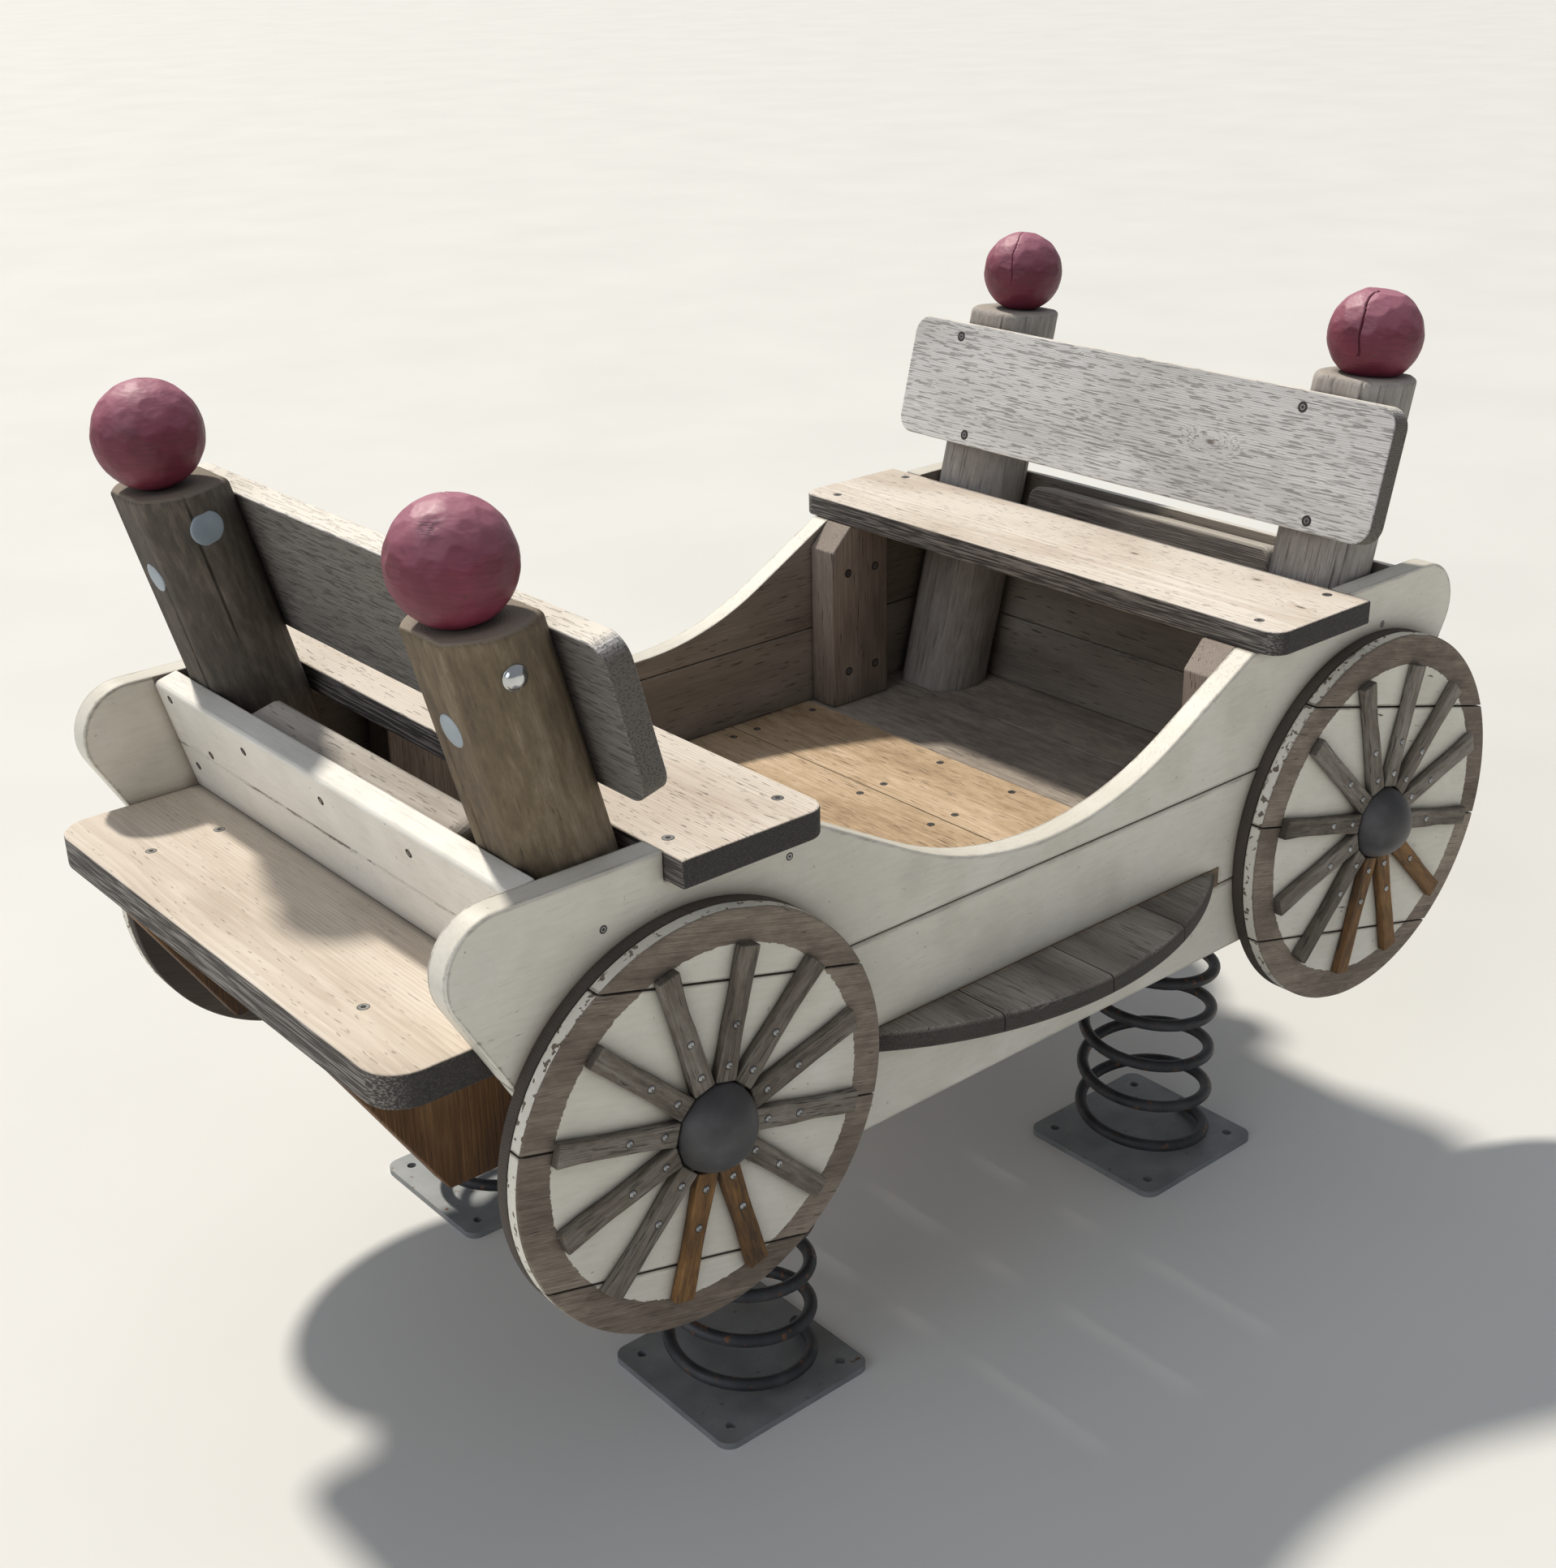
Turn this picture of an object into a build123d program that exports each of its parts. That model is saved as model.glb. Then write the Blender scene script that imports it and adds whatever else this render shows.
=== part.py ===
from build123d import *
from math import cos, radians, sin, tan
import os

os.makedirs("parts", exist_ok=True)

# A wooden carriage on four coil springs. Millimetres, +Z up, the ground is z = 0.
# The front, with the driver's bench, points to -X. The sides, and the ends, are mirror images apart
# from the wheels, the balls, the bench and how far the sides reach, so most pieces are made once
# and then mirrored.

# Body: heights, here and below, are measured up from the lower edge of the side planks
body_clearance = 410.0      # ground to the lower edge of the side planks
body_width = 913.0          # over the outer faces of the side planks
plank_thickness = 35.0      # side planks
lower_joint = 110.0         # joint between the lower and the middle plank
upper_joint = 267.0         # joint between the middle and the upper plank
joint_gap = 2.0             # open joint between two planks or boards
side_top = 484.0            # top edge of the side behind the seats
side_foot = 670.0           # lower edge's reach to the front, from the middle
rear_shortfall = 20.0       # the sides reach this much less far to the rear
end_slant = 29.3            # degrees from vertical of the side's sloping ends
lobe_radius = 69.0          # rounded upper corners of the sides
swoop_low = 301.0           # lowest point of the entrance between the seats
swoop_radius = 513.0        # its arc
swoop_slope = 28.8          # degrees, the straight rise at each end of that arc
arris = 3.0                 # rounding of the long edges of planks and boards
seat_clear = 0.3            # running clearance between curved faces that meet

# Floor: cross boards, of which the middle ones run out through the sides as steps
floor_thickness = 29.0
floor_board_width = 172.0
floor_offset = 10.0         # the joint nearest the middle lies this far behind it
step_boards = 4             # how many boards run through the sides
inner_boards = 2            # how many more lie at each end
step_depth = 108.0          # step's reach past the side
step_half_chord = 335.0     # half its length along the side
step_round = 8.0            # rounded outer edge

# Seats and what carries them
seat_front = 404.0          # from the middle of the carriage
seat_depth = 209.5
seat_thickness = 35.0
seat_top = 482.5            # above the side planks' lower edge
seat_overhang = 33.5        # past each side's outer face
seat_corner = 28.0
block_width = 122.0         # upright blocks under the seats' front edges
block_thickness = 56.0
block_lead = 42.0           # how far they stand in front of the seat
block_chamfer = 37.0

# Ends: everything here leans out by the same angle
lean = 14.5                 # degrees
end_thickness = 35.0
end_top = 477.0             # height of the end boards' outer top edge
end_joint = 385.0
end_low_joint = 236.0
end_chamfer = 4.0
post_diameter = 145.0
post_flats = 124.0          # across the two flats that take the end boards and the backrest
post_gap = 2.0              # between each post and the side beside it
post_top = 756.0
post_axis_at_seat = 690.0   # the posts' axis, from the middle, at the seats' upper face
post_chamfer = 7.0
ball_table = (
    # end, side, radius, depth cut off it for the flat it stands on
    ("front", "left", 69.0, 5.0),
    ("front", "right", 69.0, 2.0),
    ("rear", "left", 68.0, 12.0),
    ("rear", "right", 65.0, 4.0),
)
inner_board_height = 110.0
inner_board_thickness = 50.0
inner_board_gap = 24.5      # between its ends and the posts
inner_board_drop = 14.0     # its top, below the end boards' top, along the slope
inner_board_round = 22.0
backrest_height = 189.0
backrest_thickness = 34.0
backrest_past_post = 55.5   # how far its ends run past the posts
backrest_bottom = 556.0     # height of its front lower edge
backrest_corner = 30.0

# Driver's bench, at the front only
bench_top = 317.0
bench_thickness = 43.0
bench_reach = 954.0         # front edge, from the middle
bench_corner = 48.0
bracket_thickness = 36.0
bracket_setback = 4.0       # behind the bench's front edge
bracket_spread = 265.5      # from the centre line to the middle of each
bracket_height = 221.0
bracket_foot_reach = 112.0  # how far its foot runs past the floor boards' ends

# Wheels: fixed discs of boards with applied spokes, all boards turned by the same angle
wheel_table = (
    # name, side of the middle, centre from the middle, centre above lower edge, radius, spoke length
    ("front", -1, 594.0, 149.0, 261.0, 164.0),
    ("rear", 1, 669.5, 126.0, 284.5, 185.0),
)
wheel_backing = 18.5        # dark rear disc
wheel_facing = 20.0         # boarded front disc
wheel_turn = -15.0          # degrees, the direction of its boards
wheel_board = 175.0         # width of the two middle boards
wheel_joint = 2.5
wheel_arris = 2.0
spoke_count = 12
spoke_width = 29.0
spoke_waist = 25.0
spoke_waist_at = 0.6        # share of the spoke's length
spoke_thickness = 12.5
hub_radius = 55.0

# Underframe and springs
bearer_width = 60.0
bearer_height = 45.0
bearer_spread = 78.0        # from the centre line to each bearer
beam_width = 230.0
beam_height = 45.0
spring_along = 410.0        # spring axes, from the middle
spring_inset = 121.5        # spring axes, in from the sides' inner faces
spring_outer = 105.0        # radius over the wire
wire_diameter = 18.0
wire_side_count = 8         # flats round the wire's section, few to keep the file light
spring_pitch = 71.0
top_plate_size = 230.0
top_plate_thickness = 8.0
base_plate_size = 250.0
base_plate_thickness = 10.0
plate_corner = 20.0
plate_bolt_spacing = 190.0
plate_bolt_hole = 14.0

# Places that follow from the sizes above
outer_face = body_width / 2
inner_face = outer_face - plank_thickness
floor_top = lower_joint + floor_thickness
seat_under = seat_top - seat_thickness
seat_back = seat_front + seat_depth
lean_x = tan(radians(lean))
post_spread = inner_face - post_gap - post_diameter / 2
inner_board_half = post_spread - post_diameter / 2 - inner_board_gap
backrest_half = post_spread + post_diameter / 2 + backrest_past_post
spring_across = inner_face - spring_inset
panel_inner = post_axis_at_seat + post_flats / 2 / cos(radians(lean)) - seat_top * lean_x
panel_outer = panel_inner + end_thickness / cos(radians(lean))


def save(name, solid):
    """Lifts a piece from the body's own heights to its height above the ground, and writes it."""
    export_step(Pos(0, 0, body_clearance) * solid, f"parts/{name}.step")


def mirrored(solid, side):
    """The same piece on the left (-1, as made) or on the right (1)."""
    return solid if side < 0 else mirror(solid, about=Plane.XZ)


def turned_end(solid, end):
    """The same piece at the rear (1, as made) or at the front (-1)."""
    return solid if end > 0 else mirror(solid, about=Plane.YZ)


def upright(outline, y_from, thickness):
    """A board cut to an outline in X and Z, from y_from towards +Y."""
    face = make_face(Plane.XZ.offset(-y_from) * outline)
    return extrude(face, amount=thickness, dir=(0, 1, 0))


def band(low, high, half_length, y_from, thickness):
    """A block as wide as a plank, used to cut the side into its planks."""
    centre = (0, y_from + thickness / 2, (low + high) / 2)
    return Pos(*centre) * Box(2 * half_length, thickness, high - low)


# Side planks

lobe_z = side_top - lobe_radius
slant = radians(end_slant)
rise = radians(swoop_slope)
swoop_end = (swoop_radius * sin(rise), swoop_low + swoop_radius * (1 - cos(rise)))
swoop_shoulder = swoop_end[0] + (seat_under - swoop_end[1]) / tan(rise)
swoop_middle = (
    swoop_radius * sin(rise / 2),
    swoop_low + swoop_radius * (1 - cos(rise / 2)),
)


def side_outline(foot):
    """Half of a side as at the rear: foot, slanted end, lobe, seat notch and the entrance's swoop."""
    lobe_x = foot + (lobe_z * sin(slant) - lobe_radius) / cos(slant)
    lobe_start = (lobe_x + lobe_radius * cos(slant), lobe_z - lobe_radius * sin(slant))
    return Curve() + [
        Line((0, swoop_low), (0, 0)),
        Polyline((0, 0), (foot, 0), lobe_start),
        ThreePointArc(lobe_start, (lobe_x + lobe_radius, lobe_z), (lobe_x, side_top)),
        Polyline((lobe_x, side_top), (seat_back, side_top), (seat_back, seat_under),
                 (swoop_shoulder, seat_under), swoop_end),
        ThreePointArc(swoop_end, swoop_middle, (0, swoop_low)),
    ]


front_half = mirror(upright(side_outline(side_foot), -outer_face, plank_thickness), about=Plane.YZ)
rear_half = upright(side_outline(side_foot - rear_shortfall), -outer_face, plank_thickness)
whole_side = front_half + rear_half
board_offsets = range(-step_boards // 2, step_boards // 2 + 1)
step_joints = [floor_offset + floor_board_width * k for k in board_offsets]
slot_centre = (step_joints[0] + step_joints[-1]) / 2
step_slot = Pos(slot_centre, -outer_face + plank_thickness / 2, lower_joint) * Box(
    step_joints[-1] - step_joints[0] + joint_gap, plank_thickness, 2 * floor_thickness
)
plank_table = (
    # name, lower edge, upper edge
    ("lower", 0.0, lower_joint),
    ("middle", lower_joint, upper_joint),
    ("upper", upper_joint, side_top),
)
for side, side_name in ((-1, "left"), (1, "right")):
    for plank, low, high in plank_table:
        gap_below = joint_gap if low > 0 else 0
        reach = band(low + gap_below, high, 2 * side_foot, -outer_face, plank_thickness)
        piece = whole_side & reach
        if plank == "middle":
            piece = piece - step_slot
        long_edges = piece.edges().filter_by(Plane.XZ).group_by(Axis.Y)[0]
        piece = fillet(long_edges, arris)
        save(f"{side_name}_side_{plank}_plank", mirrored(piece, side))


# Floor: boards laid across, the middle ones ending in the half-moon steps

step_radius = (step_half_chord ** 2 + step_depth ** 2) / (2 * step_depth)
step_edge = outer_face + step_depth


def floor_board(start, end, half_length):
    """A plain cross board from start to end along the carriage."""
    size = (end - start - joint_gap, 2 * half_length, floor_thickness)
    middle = ((start + end) / 2, 0, lower_joint + floor_thickness / 2)
    return Pos(*middle) * Box(*size)


moon = Pos(slot_centre, -step_edge + step_radius, lower_joint + floor_thickness / 2) * Cylinder(
    step_radius, floor_thickness
)
moons = moon & mirror(moon, about=Plane.XZ)
inside = Pos(slot_centre, 0, lower_joint + floor_thickness / 2) * Box(
    2 * side_foot, body_width, floor_thickness
)
step_floor = Part()
for start, end in zip(step_joints, step_joints[1:]):
    board = floor_board(start, end, step_edge)
    inner = board & inside
    outer_left = (board & moon) & (Pos(slot_centre, -step_edge, lower_joint + floor_thickness / 2)
                                   * Box(2 * side_foot, 2 * step_depth, floor_thickness))
    board = inner + outer_left + mirror(outer_left, about=Plane.XZ)
    rims = board.edges().filter_by(GeomType.CIRCLE)
    step_floor += fillet(rims, step_round)
save("step_floor_boards", step_floor)

floor_end = panel_outer + floor_top * lean_x
for end, end_name in ((-1, "front"), (1, "rear")):
    first = step_joints[0] if end < 0 else step_joints[-1]
    end_floor = Part()
    for number in range(inner_boards):
        near = first + end * number * floor_board_width
        last = number == inner_boards - 1
        far = end * floor_end if last else near + end * floor_board_width
        low_x, high_x = sorted((near, far))
        end_floor += floor_board(low_x, high_x, inner_face)
    save(f"{end_name}_floor_boards", end_floor)


# Seats with rounded front corners, and the upright blocks under their front edges

seat_half = outer_face + seat_overhang
for end, end_name in ((-1, "front"), (1, "rear")):
    seat = Pos((seat_front + seat_back) / 2, 0, seat_top - seat_thickness / 2) * Box(
        seat_depth, 2 * seat_half, seat_thickness
    )
    front_corners = seat.edges().filter_by(Axis.Z).group_by(Axis.X)[0]
    seat = fillet(front_corners, seat_corner)
    seat = fillet(seat.faces().sort_by(Axis.Z)[-1].edges(), arris)
    save(f"{end_name}_seat", turned_end(seat, end))

block_x = seat_front - block_lead
block_outline = Polyline(
    (block_x, floor_top),
    (block_x + block_width, floor_top),
    (block_x + block_width, seat_under),
    (block_x + block_chamfer, seat_under),
    (block_x, seat_under - block_chamfer),
    close=True,
)
block = upright(block_outline, -inner_face, block_thickness)
block = fillet(block.edges().filter_by(Axis.Z).group_by(Axis.Y)[-1], arris)
blocks = block + mirror(block, about=Plane.YZ)
for side, side_name in ((-1, "left"), (1, "right")):
    save(f"{side_name}_corner_blocks", mirrored(blocks, side))


# Leaning ends: a point is given by its height up the slope and its depth in from the outer face


def on_slope(height, depth):
    """X and Z of a point on the rear end, height measured at the outer face, depth square to it."""
    angle = radians(lean)
    return (panel_outer + height * lean_x - depth * cos(angle), height + depth * sin(angle))


def leaning_board(low, high, depth, thickness, half_width, level_foot=False, level_head=False):
    """A board that leans with the end, its lower or upper edge cut square or level."""
    level_shift = thickness / cos(radians(lean))
    foot, head = on_slope(low, depth), on_slope(high, depth)
    inner_foot = (foot[0] - level_shift, foot[1]) if level_foot else on_slope(low, depth + thickness)
    inner_head = (head[0] - level_shift, head[1]) if level_head else on_slope(high, depth + thickness)
    return upright(Polyline(foot, head, inner_head, inner_foot, close=True), -half_width, 2 * half_width)


bench_under = bench_top - bench_thickness
end_board_table = (
    # end, name, rows of: lower edge, upper edge, level lower edge, level upper edge
    (-1, "front_end_bottom_board", ((floor_top, bench_under, True, True),)),
    (-1, "front_end_boards", ((bench_top, end_joint, True, False),
                              (end_joint + joint_gap, end_top, False, False))),
    (1, "rear_end_bottom_board", ((floor_top, end_low_joint, True, False),)),
    (1, "rear_end_boards", ((end_low_joint + joint_gap, end_joint, False, False),
                            (end_joint + joint_gap, end_top, False, False))),
)
for end, name, rows in end_board_table:
    boards = Part()
    for low, high, level_foot, level_head in rows:
        board = leaning_board(low, high, 0, end_thickness, inner_face, level_foot, level_head)
        if high == end_top:
            board = chamfer(board.edges().filter_by(Axis.Y).group_by(Axis.Z)[-2], end_chamfer)
        boards += board
    save(name, turned_end(boards, end))

depth_way = Axis((0, 0, 0), (-cos(radians(lean)), 0, sin(radians(lean))))
inner_board_top = end_top - inner_board_drop
backrest_depth = end_thickness + post_flats
backrest_low = backrest_bottom - (backrest_depth + backrest_thickness) * sin(radians(lean))
inner_board = leaning_board(
    inner_board_top - inner_board_height, inner_board_top,
    end_thickness, inner_board_thickness, inner_board_half,
)
inner_board = fillet(inner_board.edges().filter_by(depth_way), inner_board_round)
backrest = leaning_board(
    backrest_low, backrest_low + backrest_height,
    backrest_depth, backrest_thickness, backrest_half,
)
backrest = fillet(backrest.edges().filter_by(depth_way), backrest_corner)
for turned_face in (backrest.faces().sort_by(Axis.X)[0], backrest.faces().sort_by(Axis.X)[-1]):
    backrest = fillet(turned_face.edges(), arris)
for end, end_name in ((-1, "front"), (1, "rear")):
    save(f"{end_name}_inner_board", turned_end(inner_board, end))
    save(f"{end_name}_backrest", turned_end(backrest, end))


# Posts that lean with the ends, and the ball on each

post_way = Vector(sin(radians(lean)), 0, cos(radians(lean)))
post_head = Vector(post_axis_at_seat + (post_top - seat_top) * lean_x, -post_spread, post_top)
post_length = 2 * (post_top - floor_top)
trunk = Cylinder(post_diameter / 2, post_length, align=(Align.CENTER, Align.CENTER, Align.MAX))
trunk = trunk & Box(
    post_flats, post_diameter, post_length, align=(Align.CENTER, Align.CENTER, Align.MAX)
)
trunk = chamfer(trunk.faces().sort_by(Axis.Z)[-1].edges(), post_chamfer)
post = Plane(origin=post_head, x_dir=(cos(radians(lean)), 0, -sin(radians(lean))), z_dir=post_way) * trunk
below_floor = Pos(post_head.X, -post_spread, floor_top) * Box(
    2 * post_length, 2 * post_diameter, 2 * post_length, align=(Align.CENTER, Align.CENTER, Align.MAX)
)
post = post - below_floor
above_post = Plane(origin=post_head, z_dir=post_way) * Box(
    2 * post_diameter, 2 * post_diameter, 2 * post_diameter,
    align=(Align.CENTER, Align.CENTER, Align.MIN),
)
for end_name, side_name, radius, cut in ball_table:
    end = 1 if end_name == "rear" else -1
    side = 1 if side_name == "right" else -1
    ball = Pos(*(post_head + post_way * (radius - cut))) * Sphere(radius)
    save(f"{end_name}_{side_name}_post", turned_end(mirrored(post, side), end))
    save(f"{end_name}_{side_name}_ball", turned_end(mirrored(ball & above_post, side), end))


# Driver's bench on two brackets, made at the rear and turned to the front

bench_back = panel_inner + bench_top * lean_x
bench = Pos((bench_reach + bench_back) / 2, 0, (bench_top + bench_under) / 2) * Box(
    bench_reach - bench_back, 2 * inner_face, bench_thickness
)
bench = fillet(bench.edges().filter_by(Axis.Z).group_by(Axis.X)[-1], bench_corner)
bench = fillet(bench.faces().sort_by(Axis.Z)[-1].edges().group_by(Axis.X)[-1], arris)
save("driver_bench", turned_end(bench, -1))

bracket_front = bench_reach - bracket_setback
bracket_foot = bench_under - bracket_height
bracket_outline = Polyline(
    (bracket_front, bench_under),
    (floor_end + bracket_foot_reach, bracket_foot),
    (floor_end, bracket_foot),
    (floor_end, floor_top),
    (panel_outer + bench_under * lean_x, bench_under),
    close=True,
)
bracket = upright(bracket_outline, -bracket_spread - bracket_thickness / 2, bracket_thickness)
save("bench_brackets", turned_end(bracket + mirror(bracket, about=Plane.XZ), -1))


# Wheels


def wheel_disc(radius, y_outer, thickness):
    """A disc across the carriage about the wheel's own centre, from y_outer inwards."""
    axis = Plane(origin=(0, y_outer, 0), z_dir=(0, 1, 0))
    return axis * Cylinder(radius, thickness, align=(Align.CENTER, Align.CENTER, Align.MIN))


hubs = Part()
backing_face = -outer_face - wheel_backing
facing_face = backing_face - wheel_facing
for name, end, centre_x, centre_z, radius, spoke_length in wheel_table:
    place = Pos(end * centre_x, 0, centre_z)
    backing = wheel_disc(radius, backing_face, wheel_backing)
    backing = chamfer(backing.edges().filter_by(GeomType.CIRCLE), wheel_arris)
    facing = wheel_disc(radius, facing_face, wheel_facing)
    facing = chamfer(facing.edges().filter_by(GeomType.CIRCLE), wheel_arris)
    boards = Part()
    for low, high in ((-radius, -wheel_board), (-wheel_board, 0), (0, wheel_board), (wheel_board, radius)):
        strip = Box(2 * radius, wheel_facing, high - low - wheel_joint)
        strip = Pos(0, facing_face + wheel_facing / 2, (low + high) / 2) * strip
        boards += facing & (Rot(0, -wheel_turn, 0) * strip)
    spoke_start = hub_radius + seat_clear
    spoke_end = spoke_start + spoke_length
    spoke_middle = spoke_start + spoke_waist_at * spoke_length
    spoke_outline = Polyline(
        (spoke_start, -spoke_width / 2),
        (spoke_middle, -spoke_waist / 2),
        (spoke_end, -spoke_width / 2),
        (spoke_end, spoke_width / 2),
        (spoke_middle, spoke_waist / 2),
        (spoke_start, spoke_width / 2),
        close=True,
    )
    spoke = upright(spoke_outline, facing_face - spoke_thickness, spoke_thickness)
    step_angle = 360 / spoke_count
    spokes = Part() + [Rot(0, wheel_turn + step_angle * k, 0) * spoke for k in range(spoke_count)]
    hub = Pos(0, facing_face, 0) * Sphere(hub_radius) & wheel_disc(
        hub_radius, facing_face - hub_radius, hub_radius
    )
    for side, side_name in ((-1, "left"), (1, "right")):
        for piece, solid in (("backing", backing), ("boards", boards), ("spokes", spokes)):
            save(f"{name}_{side_name}_wheel_{piece}", mirrored(place * solid, side))
        hubs += mirrored(place * hub, side)
save("wheel_hubs", hubs)


# Underframe, springs and their plates

bearer_half = panel_inner + lower_joint * lean_x
beam_under = lower_joint - bearer_height - beam_height
bearer = Pos(0, -bearer_spread, lower_joint - bearer_height / 2) * Box(
    2 * bearer_half, bearer_width, bearer_height
)
save("floor_bearers", bearer + mirror(bearer, about=Plane.XZ))
ground = -body_clearance
spring_foot = ground + base_plate_thickness
spring_head = beam_under - top_plate_thickness
spring_height = spring_head - spring_foot - wire_diameter
coil = Helix(pitch=spring_pitch, height=spring_height, radius=spring_outer - wire_diameter / 2)
section = Plane(origin=coil @ 0, z_dir=coil % 0) * RegularPolygon(wire_diameter / 2, wire_side_count)
wire = sweep(section, path=coil, is_frenet=True)
wire = Pos(0, 0, spring_foot + wire_diameter / 2) * wire


def square_plate(size, thickness, foot):
    """A square plate with rounded corners, its lower face at foot."""
    plate = Pos(0, 0, foot + thickness / 2) * Box(size, size, thickness)
    return fillet(plate.edges().filter_by(Axis.Z), plate_corner)


top_plate = square_plate(top_plate_size, top_plate_thickness, spring_head)
base_plate = square_plate(base_plate_size, base_plate_thickness, ground)
for corner in GridLocations(plate_bolt_spacing, plate_bolt_spacing, 2, 2):
    base_plate -= Pos(0, 0, ground) * corner * Cylinder(plate_bolt_hole / 2, 4 * base_plate_thickness)
beam = Pos(spring_along, 0, beam_under + beam_height / 2) * Box(beam_width, 2 * inner_face, beam_height)
save("cross_beams", beam + mirror(beam, about=Plane.YZ))
top_plates = Part()
for end, end_name in ((-1, "front"), (1, "rear")):
    for side, side_name in ((-1, "left"), (1, "right")):
        place = Pos(end * spring_along, side * spring_across, 0)
        top_plates += place * top_plate
        save(f"{end_name}_{side_name}_spring", place * wire)
        save(f"{end_name}_{side_name}_base_plate", place * base_plate)
save("spring_top_plates", top_plates)
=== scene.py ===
# %% [markdown]
# A wooden playground carriage, dressed for a studio photograph
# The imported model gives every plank, post, wheel and spring at its real place and size. This lesson
# gives each of them its surface: bleached larch, flaking white paint, raspberry paint on hand-cut
# balls, dark spring steel. Nothing is moved or resized, so each piece goes where the frame says.

# %% Load the frame
import math
import random

import bmesh
import bpy
import numpy as np
from mathutils import Matrix, Vector, noise


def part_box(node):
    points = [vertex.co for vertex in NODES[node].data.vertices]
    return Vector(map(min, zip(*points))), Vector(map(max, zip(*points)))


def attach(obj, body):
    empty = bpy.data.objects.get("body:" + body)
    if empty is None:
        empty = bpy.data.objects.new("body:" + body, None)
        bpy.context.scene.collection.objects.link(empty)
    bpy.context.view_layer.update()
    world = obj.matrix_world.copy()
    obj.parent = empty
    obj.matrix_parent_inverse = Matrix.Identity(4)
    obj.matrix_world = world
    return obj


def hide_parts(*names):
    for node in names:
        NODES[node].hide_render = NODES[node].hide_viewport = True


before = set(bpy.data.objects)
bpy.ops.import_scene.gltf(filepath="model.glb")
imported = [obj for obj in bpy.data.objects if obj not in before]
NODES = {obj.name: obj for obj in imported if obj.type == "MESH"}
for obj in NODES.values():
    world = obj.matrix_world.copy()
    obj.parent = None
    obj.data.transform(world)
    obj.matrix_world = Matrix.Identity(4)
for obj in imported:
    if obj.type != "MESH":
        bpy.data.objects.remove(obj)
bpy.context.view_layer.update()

MM = 0.001
ENDS = ((-1, "front"), (1, "rear"))
HANDS = ((-1, "left"), (1, "right"))
CORNERS = [f"{end}_{hand}" for _, end in ENDS for _, hand in HANDS]
print("nodes", len(NODES), "corners", CORNERS)

# %% [markdown]
# Colours
# The colours are read from the photograph as sRGB hex values, and shaders want linear light,
# so one function turns the first into the second.

# %% Colour helper


def linear(hex_colour):
    """An sRGB hex colour as the linear RGBA that a socket wants."""
    channels = [int(hex_colour[i:i + 2], 16) / 255 for i in (1, 3, 5)]
    return tuple(c / 12.92 if c <= 0.04045 else ((c + 0.055) / 1.055) ** 2.4 for c in channels) + (1.0,)


print("white is", linear("#ffffff"))

# %% [markdown]
# One way to add a node
# A node tree is easier to read as a chain of calls than as a drawing. This helper adds a node,
# sets what is fixed, links what is a socket, and hands back the output that the next node needs.
# The other helpers join a few nodes that turn up together: noise stretched along the grain, colours
# laid over each other like glazes, the way a face looks, and the shader that every finish ends in.

# %% Node helpers


def add(tree, kind, inputs=(), out=0, stops=(), **settings):
    """Adds one node and returns the asked output.

    The kind is a shader node's unless it says otherwise, and its second word is the operation.
    Inputs go by place or name, each a value or a socket; None leaves one as it is.
    """
    kind, *operation = kind.split()
    node = tree.nodes.new(kind if kind.startswith(("Geometry", "Function")) else f"ShaderNode{kind}")
    for word in operation:
        node.operation = word
    for name, value in settings.items():
        setattr(node, name, value)
    for key, value in inputs.items() if isinstance(inputs, dict) else enumerate(inputs):
        if isinstance(value, bpy.types.NodeSocket):
            tree.links.new(value, node.inputs[key])
        elif value is not None:
            node.inputs[key].default_value = value
    if stops:
        ramp = node.color_ramp
        while len(ramp.elements) < len(stops):
            ramp.elements.new(0.5)
        for element, (place, colour) in zip(ramp.elements, stops):
            element.position = place
            element.color = linear(colour) if isinstance(colour, str) else (colour, colour, colour, 1)
    return node.outputs[out]


def stretched(tree, place, scale, detail, rough=None, turned=None):
    """Noise with its own number of features a metre along each axis, so that it draws out in strands."""
    place = add(tree, "Mapping", {"Vector": place, "Scale": scale, "Rotation": turned})
    return add(tree, "TexNoise", {"Vector": place, "Scale": 1.0, "Detail": detail, "Roughness": rough})


def glazed(tree, colour, layers):
    """A colour with others laid over it in turn, each by its share."""
    for share, over in layers:
        over = linear(over) if isinstance(over, str) else over
        colour = add(tree, "Mix", {0: share, 6: colour, 7: over}, out=2, data_type="RGBA")
    return colour


def facing(tree, axis, normal="True Normal"):
    """How squarely a face looks along X, Y or Z, from -1 to 1."""
    return add(tree, "SeparateXYZ", (add(tree, "NewGeometry", out=normal),), out=axis)


def outward(tree, place):
    """How squarely a face looks away from the carriage's middle, lengthwise."""
    side = add(tree, "Math SIGN", (add(tree, "SeparateXYZ", (place,)),))
    return add(tree, "Math MULTIPLY", (side, facing(tree, "X")))


def new_material(name):
    """An empty material, its tree, and the place of the point that is shaded."""
    material = bpy.data.materials.new(name)
    material.use_nodes = True
    material.node_tree.nodes.clear()
    return material, material.node_tree, add(material.node_tree, "TexCoord", out="Object")


def finish_material(tree, colour, roughness, height, depth, metallic=0.0):
    """The shader at the end of every finish, with its relief depth in metres."""
    bump = add(tree, "Bump", {"Strength": 1.0, "Distance": depth, "Height": height})
    shader = add(tree, "BsdfPrincipled", {
        "Base Color": colour, "Roughness": roughness, "Metallic": metallic, "Normal": bump,
    })
    tree.links.new(shader, tree.nodes.new("ShaderNodeOutputMaterial").inputs["Surface"])


print("helpers ready")

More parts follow.
